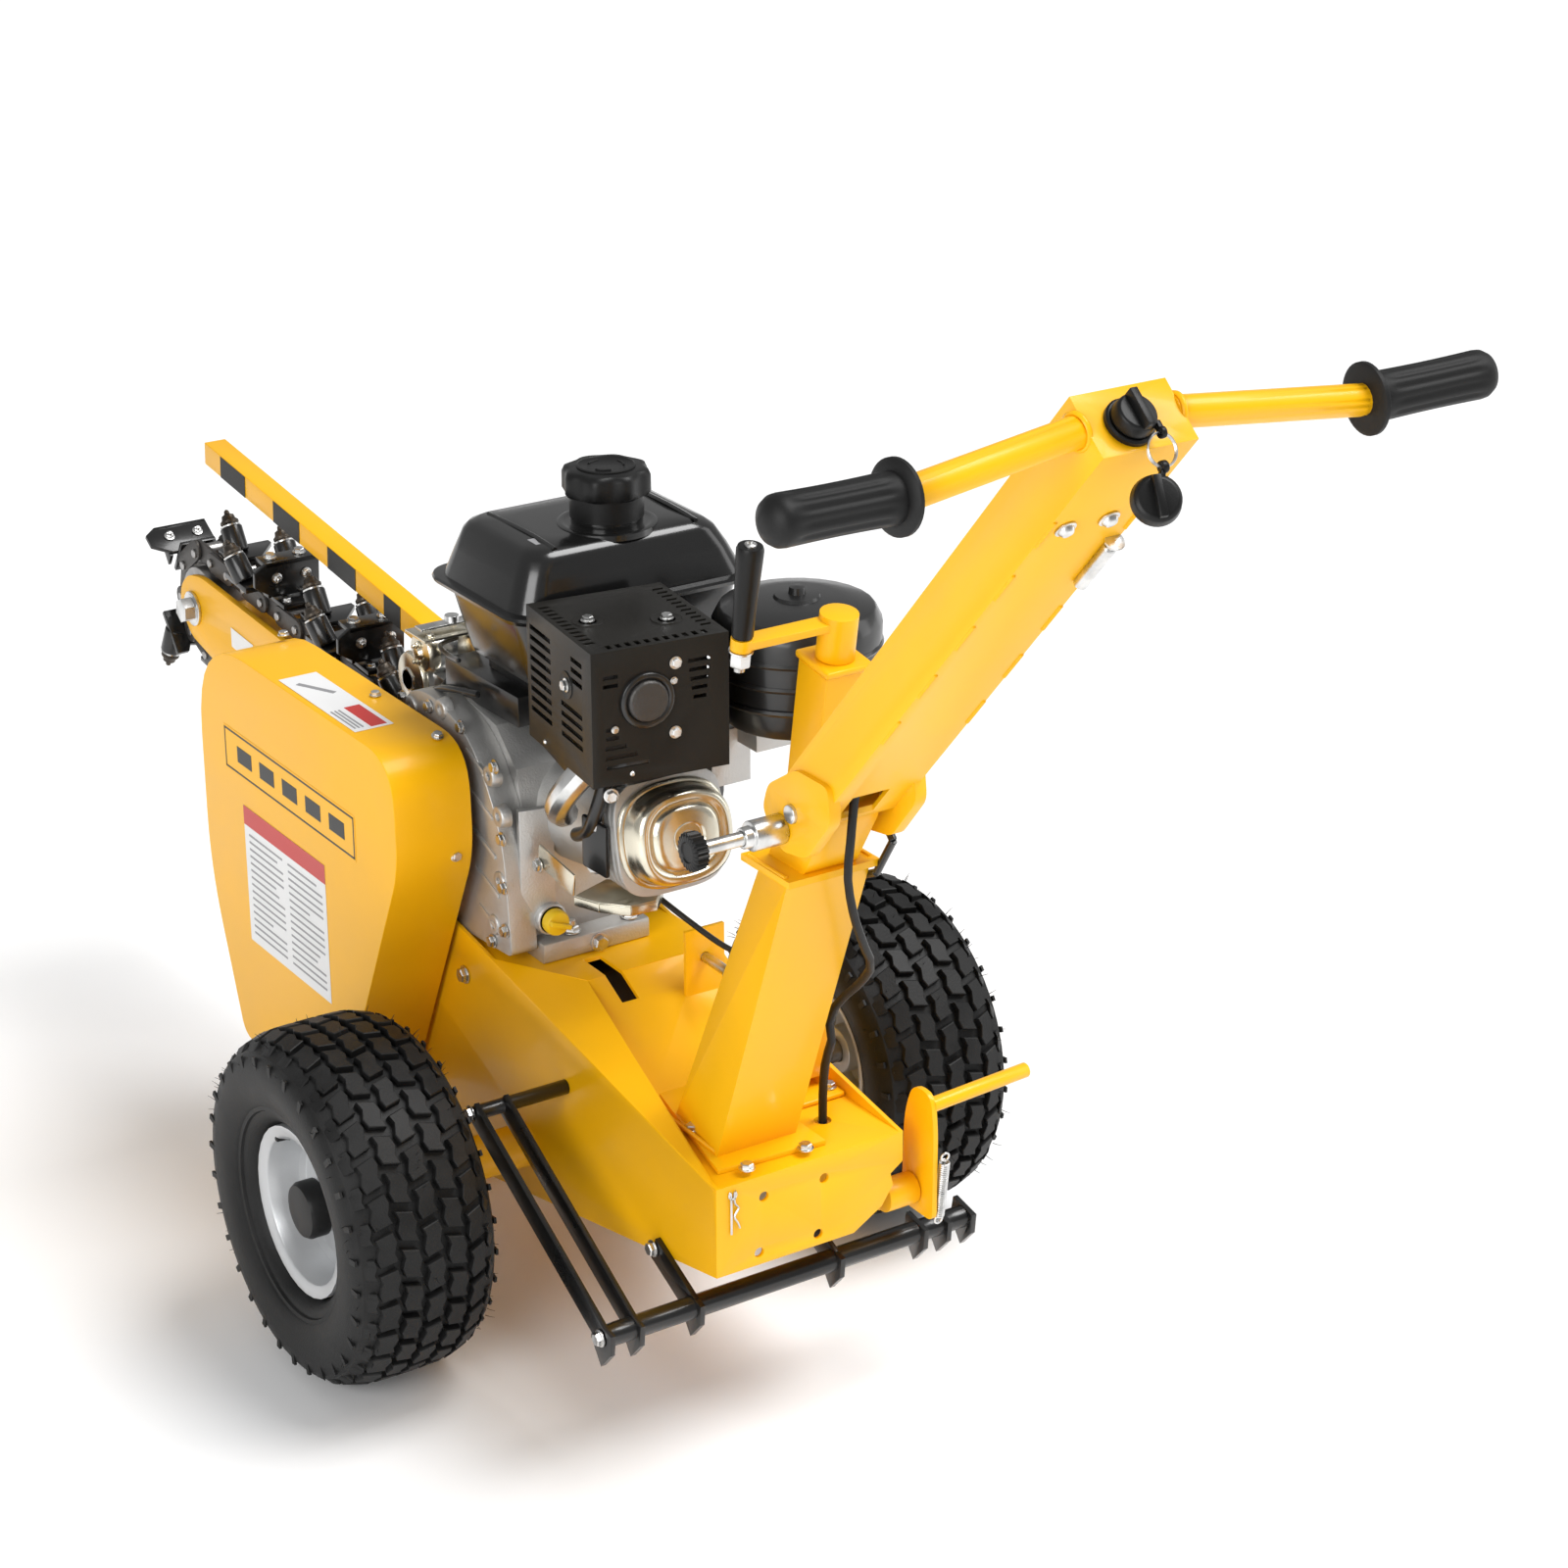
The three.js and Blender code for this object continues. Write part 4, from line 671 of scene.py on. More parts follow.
def fuel_tank():
    tank = Piece()
    cx, cy = 78.5, -33.5
    rings = [rounded_ring(cx, cy + 3, 613.5, 66, 94, 16), rounded_ring(cx, cy, 622, 70, 101, 20),
             rounded_ring(cx, cy, 682, 79, 117, 26), rounded_ring(cx, cy, 684, 90, 129, 28),
             rounded_ring(cx, cy, 688, 92, 131, 30), rounded_ring(cx, cy, 690.5, 91, 130, 30),
             rounded_ring(cx, cy, 691, 83, 122, 28), rounded_ring(cx - 0.5, cy + 2, 716, 77, 111, 26),
             rounded_ring(cx - 1.5, cy + 5, 735, 72, 101, 24), rounded_ring(cx - 2, cy + 7, 741, 68, 95,
                     24),
             rounded_ring(cx - 2, cy + 8, 744.5, 61, 87, 22), rounded_ring(cx - 2, cy + 8, 745.6, 40, 60,
                     20)]
    tank.loft(rings)
    neck = vec(51, -33, 0)
    tank.lathe(neck, vec(0, 0, 1), [(47, 741), (46, 746.2), (43, 747.2), (40, 746.4), (36, 745.8),
            (33, 746), (33, 752)], 48)
    for y in (-104, 44):
        tank.tube([vec(12, y, 744), vec(60, y, 746), vec(132, y * 1.02, 744)], 2.2, 8, 4)
    tank.done("fuel_tank_shell", "machine", "tank", "black_plastic", 0, ("fuel_tank",), 40)
    cap = Piece()
    rings = []
    for z, r, wave in ((752.4, 34, 0), (773, 34, 0), (774, 38, 1.2), (777, 39.4, 2.2), (792, 39.2, 2.2),
            (796.5, 37.4, 1.8), (798, 34, 1)):
        rings.append([neck + vec(p, q, z) for p, q in lobed(r, wave, 8, 96)])
    cap.loft(rings)
    cap.lathe(neck, vec(0, 0, 1), [(27, 797), (27, 799.2), (25.5, 799.8), (24, 798.6), (0, 798.6)], 48)
    for a in (0.4, 2.5, 4.6):
        arc = [neck + vec(16 * cos(a + b), 16 * sin(a + b), 798.8) for b in (-0.5, -0.2, 0.1, 0.4)]
        cap.tube(arc, 1.1, 6, 3)
    cap.done("fuel_cap_lobed", "cap", "plastic", "black_plastic", 0, ("fuel_cap",), 45)
    plate = Piece()
    plate.slab(vec(38, 36, 744.6), (1, 0, 0.02), (0, 1, 0), (16, 34), 0.8)
    plate.slab(vec(128, -70, 743.2), (1, 0, -0.08), (0, 1, 0), (14, 40), 0.8)
    plate.done("tank_labels", "machine", "grey", "black_plastic")


GUARD_TURN = radians(-7)


def guard_point(x, y, z):
    c, s = cos(GUARD_TURN), sin(GUARD_TURN)
    return vec(-89 + c * x - s * y, 34 + s * x + c * y, 638 + z)


def guard_way(x, y, z):
    return guard_point(x, y, z) - guard_point(0, 0, 0)


def muffler_guard():
    slots = Piece()
    ex, ey, ez = guard_way(1, 0, 0), guard_way(0, 1, 0), vec(0, 0, 1)

    def slot(centre, along, square, length, height, depth=9):
        slots.slab(guard_point(*centre), along, square, (length, height), depth)

    for k in range(9):
        z = 54 - 9.6 * k
        slot((36, 65, z), ex, ez, 46, 4.6)
        if k < 3:
            slot((-44, 65, z), ex, ez, 24, 4.6)
        elif k > 4:
            slot((-32, 65, z), ex, ez, 46, 4.6)
    for k, (y, length) in enumerate(((47, 14), (47, 14), (47, 10), (46, 12), (43, 20), (38, 30), (32, 40))):
        z = (48, 40, 0, -8, -17, -26, -35)[k]
        slot((-76, y, z), ey, ez, length, 3.6)
    for k in range(5):
        slot((-76, -37, 51 - 8.5 * k), ey, ez, 22 - 2.4 * k, 3.6)
    for k in range(11):
        slot((50 - 10 * k, 55, 72), ex + ey * 0.5, ey, 5, 10)
        slot((-66, 44 - 9 * k, 72), ey, ex, 4.6, 9)
        slot((50 - 10 * k, -55, 72), ex - ey * 0.5, ey, 5, 10)
    for k in range(9):
        slot((36, -65, 54 - 9.6 * k), ex, ez, 46, 4.6)
        slot((-30, -65, 54 - 9.6 * k), ex, ez, 46, 4.6)
    outlet = guard_point(-76, 13, 22)
    slots.lathe(outlet - ex * 8, ex, [(22.5, 0), (22.5, 16)], 32)
    tool = knife(slots)
    refine("muffler_guard", "satin", 3.2, cutter=tool, segments=3)
    drop(tool)
    ring = Piece()
    ring.lathe(outlet + ex * 2, -ex, [(23.6, -2), (26, 1), (25, 4.5), (22, 5.5), (19, 4), (17.5, -2),
            (17.5, -16)], 40, closed=True)
    ring.lathe(outlet + ex * 6, -ex, [(20, 0), (17, 6), (9, 10), (0, 11)], 32)
    ring.done("muffler_outlet", "machine", "blackgloss", "black_satin", 0.5)
    dishes = Piece()
    bolts = Piece()
    for x, y in ((1, 34), (-24, -30)):
        c = guard_point(x, y, 72)
        dishes.lathe(c, ez, [(15, -1), (14, 0.9), (11, 0.2), (8, 0), (0, 0)], 32)
        bolts.bolt(c + vec(0, 0, 0.2), ez, 5.5)
    c = guard_point(-22, 65, 26)
    dishes.lathe(c, ey, [(13, -1), (12.4, 0.9), (9, 0.2), (0, 0)], 32)
    bolts.bolt(c, ey, 5.5)
    for y, z, size in ((-14, 52, 5), (-13, -12, 5), (-12, 36, 3), (44, 0, 3)):
        bolts.bolt(guard_point(-76.2, y, z), -ex, size)
    for at, way in (((-76.2, 28, -44), -ex), ((30, 65.2, -46), ey)):
        bolts.lathe(guard_point(*at), way, [(2.4, 0), (1.5, 1.2), (0, 1.5)], 12)
    dishes.done("guard_dishes", "machine", "satin", "black_satin")
    bolts.done("guard_bolts", "machine", "zinc", "black_satin", angle=30)


COVER = vec(-102.6, -4, 500)
COVER_AXIS = vec(-cos(radians(10)), 0, sin(radians(10)))


def oval(centre, ry, rz, power=2.5, n=64, lift=0.0):
    """A rounded outline in the valve cover's plane."""
    up = vec(COVER_AXIS.z, 0, -COVER_AXIS.x)
    ring = []
    for k in range(n):
        a = 2 * pi * k / n
        c, s = cos(a), sin(a)
        scale = (abs(c) ** power + abs(s) ** power) ** (-1 / power)
        ring.append(Vector(centre) + vec(0, 1, 0) * ry * c * scale + up * (rz * s * scale + lift))
    return ring


def cylinder_head():
    cover = Piece()
    steps = ((1, 0), (1.0, 3.2), (0.97, 4.6), (0.93, 5), (0.91, 7), (0.9, 17), (0.87, 24), (0.82, 27.4),
            (0.76, 28.2),
             (0.7, 27.6), (0.67, 25.4), (0.62, 25.2), (0.585, 27.8), (0.54, 29.4), (0.47, 30), (0.3,
                     30.6), (0.27, 28.6), (0.24, 28.2),
             (0.2, 28.2), (0.02, 28.2))
    cover.loft([oval(COVER + COVER_AXIS * h, 56.5 * k, 49.5 * k, 2.2 + 0.4 * (k > 0.5)) for k, h in steps])
    cover.done("valve_cover_pressed", "machine", "gold", "gold_chromate", 0, ("valve_cover",), 50)
    bits = Piece()
    bits.nut(COVER + COVER_AXIS * 28.2, COVER_AXIS, 6, 2)
    bits.bolt(vec(-74, 58, 512), vec(-0.3, 0.95, 0), 7)
    bits.bolt(vec(-70, 57, 470), vec(-0.3, 0.95, 0), 7)
    bits.bolt(vec(-98, 56, 548), vec(-0.9, 0.3, 0), 6)
    bits.bolt(vec(-30, 62, 512), vec(0, 1, 0), 7)
    bits.done("head_bolts", "machine", "zinc", "cast", angle=30)
    fins = Piece()
    for k in range(5):
        c = COVER - COVER_AXIS * (5 + 11 * k)
        fins.loft([oval(c + COVER_AXIS * d, 57 - k - (0.5 if d else 0), 55 - 1.5 * k, 4) for d in (0, 3.4)])
    fins.done("head_fins", "machine", "cast", "cast", 0.6)
    shroud = Piece()
    shroud.prism([vec(-98, 40, 552), vec(-98, -60, 552), vec(-40, -60, 560), vec(20, -40, 560),
            vec(20, 62, 560), vec(-40, 66, 548)], (0, 0, 26))
    shroud.tube([vec(-84, 54, 556), vec(-80, 60, 530), vec(-68, 62, 505), vec(-44, 62, 492)], 7, 10, 4)
    shroud.slab(vec(-76, 60, 492), (0.9, 0.3, 0.2), (0, 0, 1), (30, 50), 6)
    shroud.done("head_shroud", "machine", "blackgloss", "black_satin", 3)
    bracket = Piece()
    bracket.slab(vec(-14, 65.6, 447), (1, 0, 0.12), (-0.12, 0, 1), (64, 22), 2.5)
    flat = [vec(-44, 65, 430), vec(-28, 22, 430), vec(-44, 4, 430), vec(-74, -10, 430),
            vec(-94, 8, 430), vec(-92, 34, 430), vec(-70, 54, 430)]
    bracket.prism(flat, (0, 0, 2.5))
    for a, b in zip(flat[3:], flat[4:] + flat[:1]):
        edge = b - a
        bracket.slab((a + b) / 2 + vec(0, 0, -3), edge, (0, 0, 1), (edge.length, 9), 2)
    bracket.done("throttle_bracket", "machine", "gold", "gold_chromate", 0.8)


def engine_trim():
    bolts = Piece()
    left = vec(0, 1, 0)
    for x, z in ((38, 465), (38, 416), (63, 352), (47, 534), (110, 552), (172, 552), (224, 545), (38, 372),
            (200, 352)):
        bolts.bolt(vec(x, 92.3, z), left, 6)
    bolts.nut(vec(33, 25, 356.5), vec(0, 0, 1), 8, 6)
    bolts.nut(vec(236, 40, 356.5), vec(0, 0, 1), 8, 6)
    bolts.nut(vec(32, -38, 356.5), vec(0, 0, 1), 8, 6)
    bolts.bolt(vec(16, 67, 441), left, 6)
    bolts.bolt(vec(19.8, 3, 345), vec(-1, 0, 0), 8)
    bolts.rod(vec(-72, -57, 350), vec(-112, -57, 350), 5, 16, 0.6)
    bolts.bolt(vec(-112, -57, 350), vec(-1, 0, 0), 8, False)
    bolts.bolt(vec(-66, -57, 350), vec(1, 0, 0), 8)
    bolts.done("engine_bolts", "machine", "zinc", "zinc", angle=30)
    bosses = Piece()
    for x, z in ((44, 485), (46, 419), (60, 520), (150, 556), (210, 540), (60, 370), (200, 356)):
        bosses.lathe(vec(x, 84, z), left, [(12, 0), (10, 9.5), (9, 10), (4, 10), (3.4, 4)], 20)
    for a in range(5):
        z = 372 + 38 * a
        bosses.slab(vec(66 + 4 * a, 91.6, z), (1, 0, 0.35), (0, -0.35, 1), (46, 4), 5)
    bosses.lathe(vec(50, 50, 378), vec(-1, 0, 0), [(17, -60), (16, 24), (14.4, 26), (13.4, 26)], 24)
    bosses.slab(vec(34, 60, 430), (0.2, 1, 0), (0, 0, 1), (34, 120), 7)
    bosses.done("engine_bosses", "machine", "cast", "cast", 1)
    dip = Piece()
    dip.lathe(vec(23.7, 50, 378), vec(-1, 0, 0), [(11.5, 0), (12.5, 1.5), (12.5, 9), (11, 12), (0, 12.4)],
            24)
    dip.slab(vec(9.5, 50, 378), (0, 1, 0.4), (1, 0, 0), (22, 7), 4.5)
    dip.done("dipstick_cap", "dipstick", "lemon", "yellow_plastic", 0.6, ("oil_dipstick",))
    black = Piece()
    black.prism([vec(60, 60, 560), vec(60, -50, 560), vec(200, -50, 556), vec(200, 60, 556)], (0, 0, 30))
    black.prism([vec(44, 40, 588), vec(44, -70, 588), vec(150, -70, 588), vec(150, 40, 588)], (0, 0, 26))
    black.tube([vec(214, 40, 566), vec(210, 62, 548), vec(190, 76, 560), vec(150, 80, 574),
            vec(110, 74, 580)], 3.5, 8, 5)
    black.tube([vec(230, 30, 590), vec(216, 56, 592), vec(190, 60, 590), vec(160, 66, 596)], 2.5, 8, 5)
    black.tube([vec(-64, -6, 425), vec(-110, -20, 408), vec(-150, -30, 398), vec(-190, -40, 396)], 3, 8, 5)
    black.done("engine_shroud", "machine", "blackgloss", "black_satin", 3)
    starter = Piece()
    starter.lathe(vec(288, 46, 534), left, [(27, 0), (27.6, 2), (26, 6), (12, 8), (10, 10)], 32)
    starter.lathe(vec(270, 46, 566), left, [(21.4, -8), (21.4, 0), (19, 4), (8, 5), (6, 9)], 28)
    starter.nut(vec(270, 51, 574), left, 4, 4)
    starter.nut(vec(270, 51, 558), left, 4, 4)
    starter.done("starter_caps", "machine", "gold", "zinc", 0.5)
    lever = Piece()
    lever.slab(vec(221, 50, 604), (1, 0, 0), (0, 1, 0), (40, 60), 2.5)
    lever.bolt(vec(208, 70, 605), vec(0, 0, 1), 4)
    lever.bolt(vec(234, 32, 605), vec(0, 0, 1), 4)
    lever.slab(vec(221, 24, 585), (1, 0, 0), (0, 0, 1), (36, 44), 2.5)
    lever.done("throttle_plate", "machine", "gold", "zinc", 0.5)
    cleaner = Piece()
    for k in range(3):
        cleaner.lathe(vec(-118, -128, 618 + 22 * k), vec(0, 0, 1), [(76.6, 0), (78.2, 2.5), (76.8, 5)], 56)
    cleaner.lathe(vec(-118, -128, 704), vec(0, 0, 1), [(22, 0), (20, 3), (8, 4), (7, 10), (0, 11)], 32)
    cleaner.done("air_cleaner_ribs", "machine", "blackgloss", "black_plastic", 0)
    recoil = Piece()
    for k in range(24):
        a = 2 * pi * k / 24
        spot = vec(140 + 82 * cos(a), -150.5, 470 + 82 * sin(a))
        recoil.slab(spot, vec(cos(a), 0.22, sin(a)), vec(-sin(a), 0, cos(a)), (34, 7), 4)
    recoil.lathe(vec(140, -166, 470), vec(0, -1, 0), [(40, 0), (38, 3), (30, 3.4), (28, 2.4), (0, 2.4)], 40)
    recoil.done("recoil_ribs", "machine", "blackgloss", "black_plastic", 0.6)


# ---------- boom, chain and teeth ----------
BOOM_LENGTH = hypot(476, 33)
BOOM_LEAN = atan2(33, 476)
CHAIN_R = 72  # the chain's outer radius at each end
CHAIN_MID = 59
LOOP = 2 * BOOM_LENGTH + 2 * pi * CHAIN_R
# Distances along the chain of each cutter plate, pair of teeth and middle tooth.
PATTERNS = ((105, 167, 233), (297, 359, 432), (556, 645, 700), (810, 872, 940), (1070, 1132, 1180),
        (1330, 1412, 58))


def boom_point(s, y, h):
    """A point along the boom, across it and out of its top."""
    c, n = cos(BOOM_LEAN), sin(BOOM_LEAN)
    return vec(365 + s * c - h * n, y, 403 + s * n + h * c)


def on_loop(distance, r, loop):
    """A place on the chain: distance along the boom, height and how far the chain has turned."""
    s = distance % loop
    if s < BOOM_LENGTH:
        return s, r, 0
    s -= BOOM_LENGTH
    if s < pi * r:
        return BOOM_LENGTH + r * sin(s / r), r * cos(s / r), s / r
    s -= pi * r
    if s < BOOM_LENGTH:
        return BOOM_LENGTH - s, -r, pi
    turn = pi + (s - BOOM_LENGTH) / r
    return r * sin(turn), r * cos(turn), turn


def chain_frame(distance, r=CHAIN_R, loop=LOOP):
    s, h, turn = on_loop(distance, r, loop)
    c, n = cos(turn), sin(turn)

    def local(x, y, z):
        return boom_point(s + x * c + z * n, y, h - x * n + z * c)

    return local


def chain_links():
    loop = 2 * BOOM_LENGTH + 2 * pi * CHAIN_MID
    count = 32
    pitch = loop / count
    links, rollers = Piece(), Piece()
    for k in range(count):
        at = chain_frame((k + 0.5) * pitch, CHAIN_MID, loop)
        outer = 0 if k % 2 else 4.2
        for sign in (1, -1):
            y = sign * (14.6 + outer)
            outline = []
            for end in (1, -1):
                for i in range(7):
                    a = radians(-90 + 30 * i) + (pi if end < 0 else 0)
                    outline.append((end * pitch / 2 + 11.5 * cos(a), 11.5 * sin(a)))
            links.loft([[at(x, y + d, z) for x, z in outline] for d in (-2, 2)])
        pin = chain_frame(k * pitch, CHAIN_MID, loop)
        rollers.rod(pin(0, -12.3, 0), pin(0, 12.3, 0), 8.5, 14, 0.6)
        rollers.rod(pin(0, -23.6, 0), pin(0, 23.6, 0), 5, 12, 0.8)
    links.done("chain_links", "boom", "iron", "black_paint", 0.5, ("digging_chain",), 40)
    rollers.done("chain_rollers", "boom", "steel", "steel")


def cutters():
    blades, bolts = Piece(), Piece()
    for cutter_at, _, middle_at in PATTERNS:
        at = chain_frame(cutter_at)
        face = [(-30, 8), (-30, 45), (-28, 47), (32, 47), (45, 38), (45, 22), (24, 8)]
        blades.loft([[at(x, y, z) for y, z in face] for x in (-4, 1)])
        top = [(-4, -30), (-4, 32), (22, 32), (22, -30)]
        blades.loft([[at(x, y, z) for x, y in top] for z in (42, 47)])
        blades.loft([[at(x, y, z) for x, y in ((-22, -21), (20, -21), (20, 21), (-22, 21))] for z in (0.2,
                5)])
        for y in (-17, 6, 26):
            blades.loft([[at(x, y + d, z) for x, z in ((0, 6), (15, 6), (0, 40))] for d in (-2, 2)])
        for y in (-14, 20):
            bolts.bolt(at(11, y, 47), at(11, y, 57) - at(11, y, 47), 6.2)
            bolts.nut(at(-4.4, y, 30), at(-20, y, 30) - at(-4, y, 30), 5, 3)
        for y in (-13, 13):
            bolts.bolt(at(-13, y, 5), at(-13, y, 15) - at(-13, y, 5), 4.6)
        at = chain_frame(middle_at)
        wing = [(-22, 16), (-22, -20), (6, -44), (14, -44), (14, 16)]
        blades.loft([[at(x, y, z) for x, y in wing] for z in (0.4, 6)])
        bullet(blades, bolts, at, 0, 0, 0)
    blades.done("cutter_plates", "boom", "black", "black_paint", 0.7, angle=30)
    bolts.done("cutter_bolts", "boom", "zinc", "zinc", angle=30)


TIPS = Piece()


def bullet(holder, bright, at, x, y, out):
    """A sleeve welded to the chain, a retaining ring and a bullet tooth with a carbide point."""
    low, high = at(x - 3, y, 6), at(x + 14, y + out / 2, 29)
    axis = high - low
    holder.rod(low, high, 12.2, 20, 1.2)
    u = axis.normalized()
    bright.lathe(high, u, [(9, -0.5), (11, 0), (11.4, 1.6), (9, 2.6)], 20)
    TIPS.lathe(high, u, [(8.4, 2), (10.2, 4), (10.2, 6.5), (7.6, 9), (6.8, 13), (3.2, 15), (2.6, 18.5),
            (0.5, 20)], 18)


def teeth():
    rings = Piece()
    for i, (_, pair_at, _) in enumerate(PATTERNS):
        at = chain_frame(pair_at)
        pair = Piece()
        foot = [(-28, -40), (24, -40), (24, -22), (16, 20), (24, 24), (24, 38), (-28, 38), (-28, 20),
                (-18, 0)]
        pair.loft([[at(x, y, z) for x, y in foot] for z in (0.4, 7)])
        for x, y, out in ((-4, 28, 10), (6, -31, 0)):
            bullet(pair, rings, at, x, y, out)
        for y in (-8, 10):
            rings.bolt(at(-12, y, 7), at(-12, y, 17) - at(-12, y, 7), 5)
        pair.done("teeth_holder_%d" % (i + 1), "boom", "black", "black_paint", 0.8,
                ("teeth_%d" % (i + 1),), 30)
    rings.done("tooth_rings", "boom", "zinc", "zinc", angle=30)
    TIPS.done("tooth_points", "boom", "tooth", "steel", angle=40)


def safety_bar():
    refine("safety_bar", "yellow", 1.2)
    stripes = Piece()
    for ahead, behind in ((809, 749), (681, 620), (555, 493), (431, 396)):
        ends = []
        for x in (behind, ahead):
            s = (x - 365 + 158 * sin(BOOM_LEAN)) / cos(BOOM_LEAN)
            ends.append((s, 132 + 26 * (s + 28) / 525))
        (s0, h0), (s1, h1) = ends
        side = [boom_point(s0, 5.1, h0 + 0.6), boom_point(s1, 5.1, h1 + 0.6),
                boom_point(s1, 5.1, h1 + 24.4), boom_point(s0, 5.1, h0 + 24.4)]
        stripes.prism(side, (0, 0.5, 0))
    stripes.done("safety_bar_blocks", "boom", "satin", "black_paint")
    hardware = Piece()
    for s, h in ((-4, 118), (20, 118), (4, 60)):
        hardware.bolt(boom_point(s, -53.2, h), (0, -1, 0), 6)
    end = boom_point(BOOM_LENGTH, 33, 0)
    hardware.lathe(end, (0, 1, 0), [(18.5, 0), (19.5, 0.6), (19.5, 3), (18.5, 3.6)], 32)
    hardware.bolt(end + vec(0, 3.4, 0), (0, 1, 0), 14, False)
    for s in (40, 110, 395):
        hardware.bolt(boom_point(s, 33.2, -30), (0, 1, 0), 5)
    hardware.done("boom_bolts", "boom", "zinc", "zinc", angle=30)
    welds = Piece()
    welds.weld(boom_point(88, 33, 45), boom_point(88, 33, -46), 2)
    welds.weld(boom_point(-20, -53, 136), boom_point(-2, -53, 136), 2)
    welds.done("boom_welds", "boom", "yellow", "yellow_paint", angle=60)


# ---------- crank, pedal and small hardware ----------
POST_AXIS = vec(-sin(radians(9)), 0, cos(radians(9)))
POST_FOOT = vec(-206, -62, 273.3)


def crank_parts():
    base = POST_FOOT + POST_AXIS * 443 + vec(0, 97, 0)
    grip_piece = Piece()
    grip_piece.lathe(base, POST_AXIS, [(5.4, 40), (8.6, 40), (9.4, 41.5), (9.6, 60), (10.4, 85),
            (11.6, 112), (11.8, 121), (10.6, 124), (5, 124.4)], 28)
    grip_piece.done("crank_grip_black", "crank_handle", "plastic", "black_plastic", 0, ("crank_grip",), 45)
    ends = Piece()
    ends.lathe(base, POST_AXIS, [(4.8, 14), (4.8, 40)], 16)
    ends.lathe(base, POST_AXIS, [(5.4, 123), (5.2, 125.6), (3.6, 126.4), (3.4, 125), (0, 125)], 20)
    ends.lathe(base, POST_AXIS, [(10.6, 26.2), (10.6, 27.7)], 20)
    ends.lathe(base, POST_AXIS, [(8.6, 13), (9.4, 14.4), (9.4, 24.6), (8.6, 26)], 6)
    ends.lathe(base, POST_AXIS, [(4.8, 8), (4.8, 14)], 12)
    ends.done("crank_grip_nut", "crank_handle", "zinc", "zinc", angle=30)


def coil(piece, a, b, radius, wire, turns):
    a, b = Vector(a), Vector(b)
    u, v, _ = across(b - a)
    steps = turns * 12
    path = [a.lerp(b, k / steps) + (u * cos(k * pi / 6) + v * sin(k * pi / 6)) * radius
            for k in range(steps + 1)]
    piece.tube(path, wire, 6, 1)


def springs():
    low, high = vec(-338, -135, 168), vec(-348, -135, 248)
    spring = Piece()
    coil(spring, low.lerp(high, 0.14), low.lerp(high, 0.86), 4.2, 1.15, 26)
    for end, other in ((low, high), (high, low)):
        way = (other - end).normalized()
        angles = [k * pi / 6 for k in range(12)]
        loop = [end + way * 6.5 + (-way * cos(a) + vec(0, 1, 0) * sin(a)) * 4 for a in angles]
        spring.tube(loop, 1.1, 6, 2, closed=True)
    obj = spring.done("pedal_spring", None, "zinc", "zinc", 0, ("lock_spring",), 80)
    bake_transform(obj)


def clip(piece, at, down, side, size=34):
    """A spring cotter: an eye with one straight and one waved leg."""
    at, d, e = Vector(at), Vector(down).normalized(), Vector(side).normalized()
    eye = [at + (d * -cos(a) + e * sin(a)) * 3.6 for a in [k * pi / 5 for k in range(1, 10)]]
    waved = [at + d * 8 - e * 2, at + d * 14 - e * 6, at + d * 21 - e * 1.5, at + d * 28 - e * 5,
            at + d * size - e * 7]
    straight = [at + d * 8 + e * 1.5, at + d * (size + 4) + e * 1.5]
    piece.tube(waved[::-1] + eye[::-1] + straight, 1.0, 6, 3)


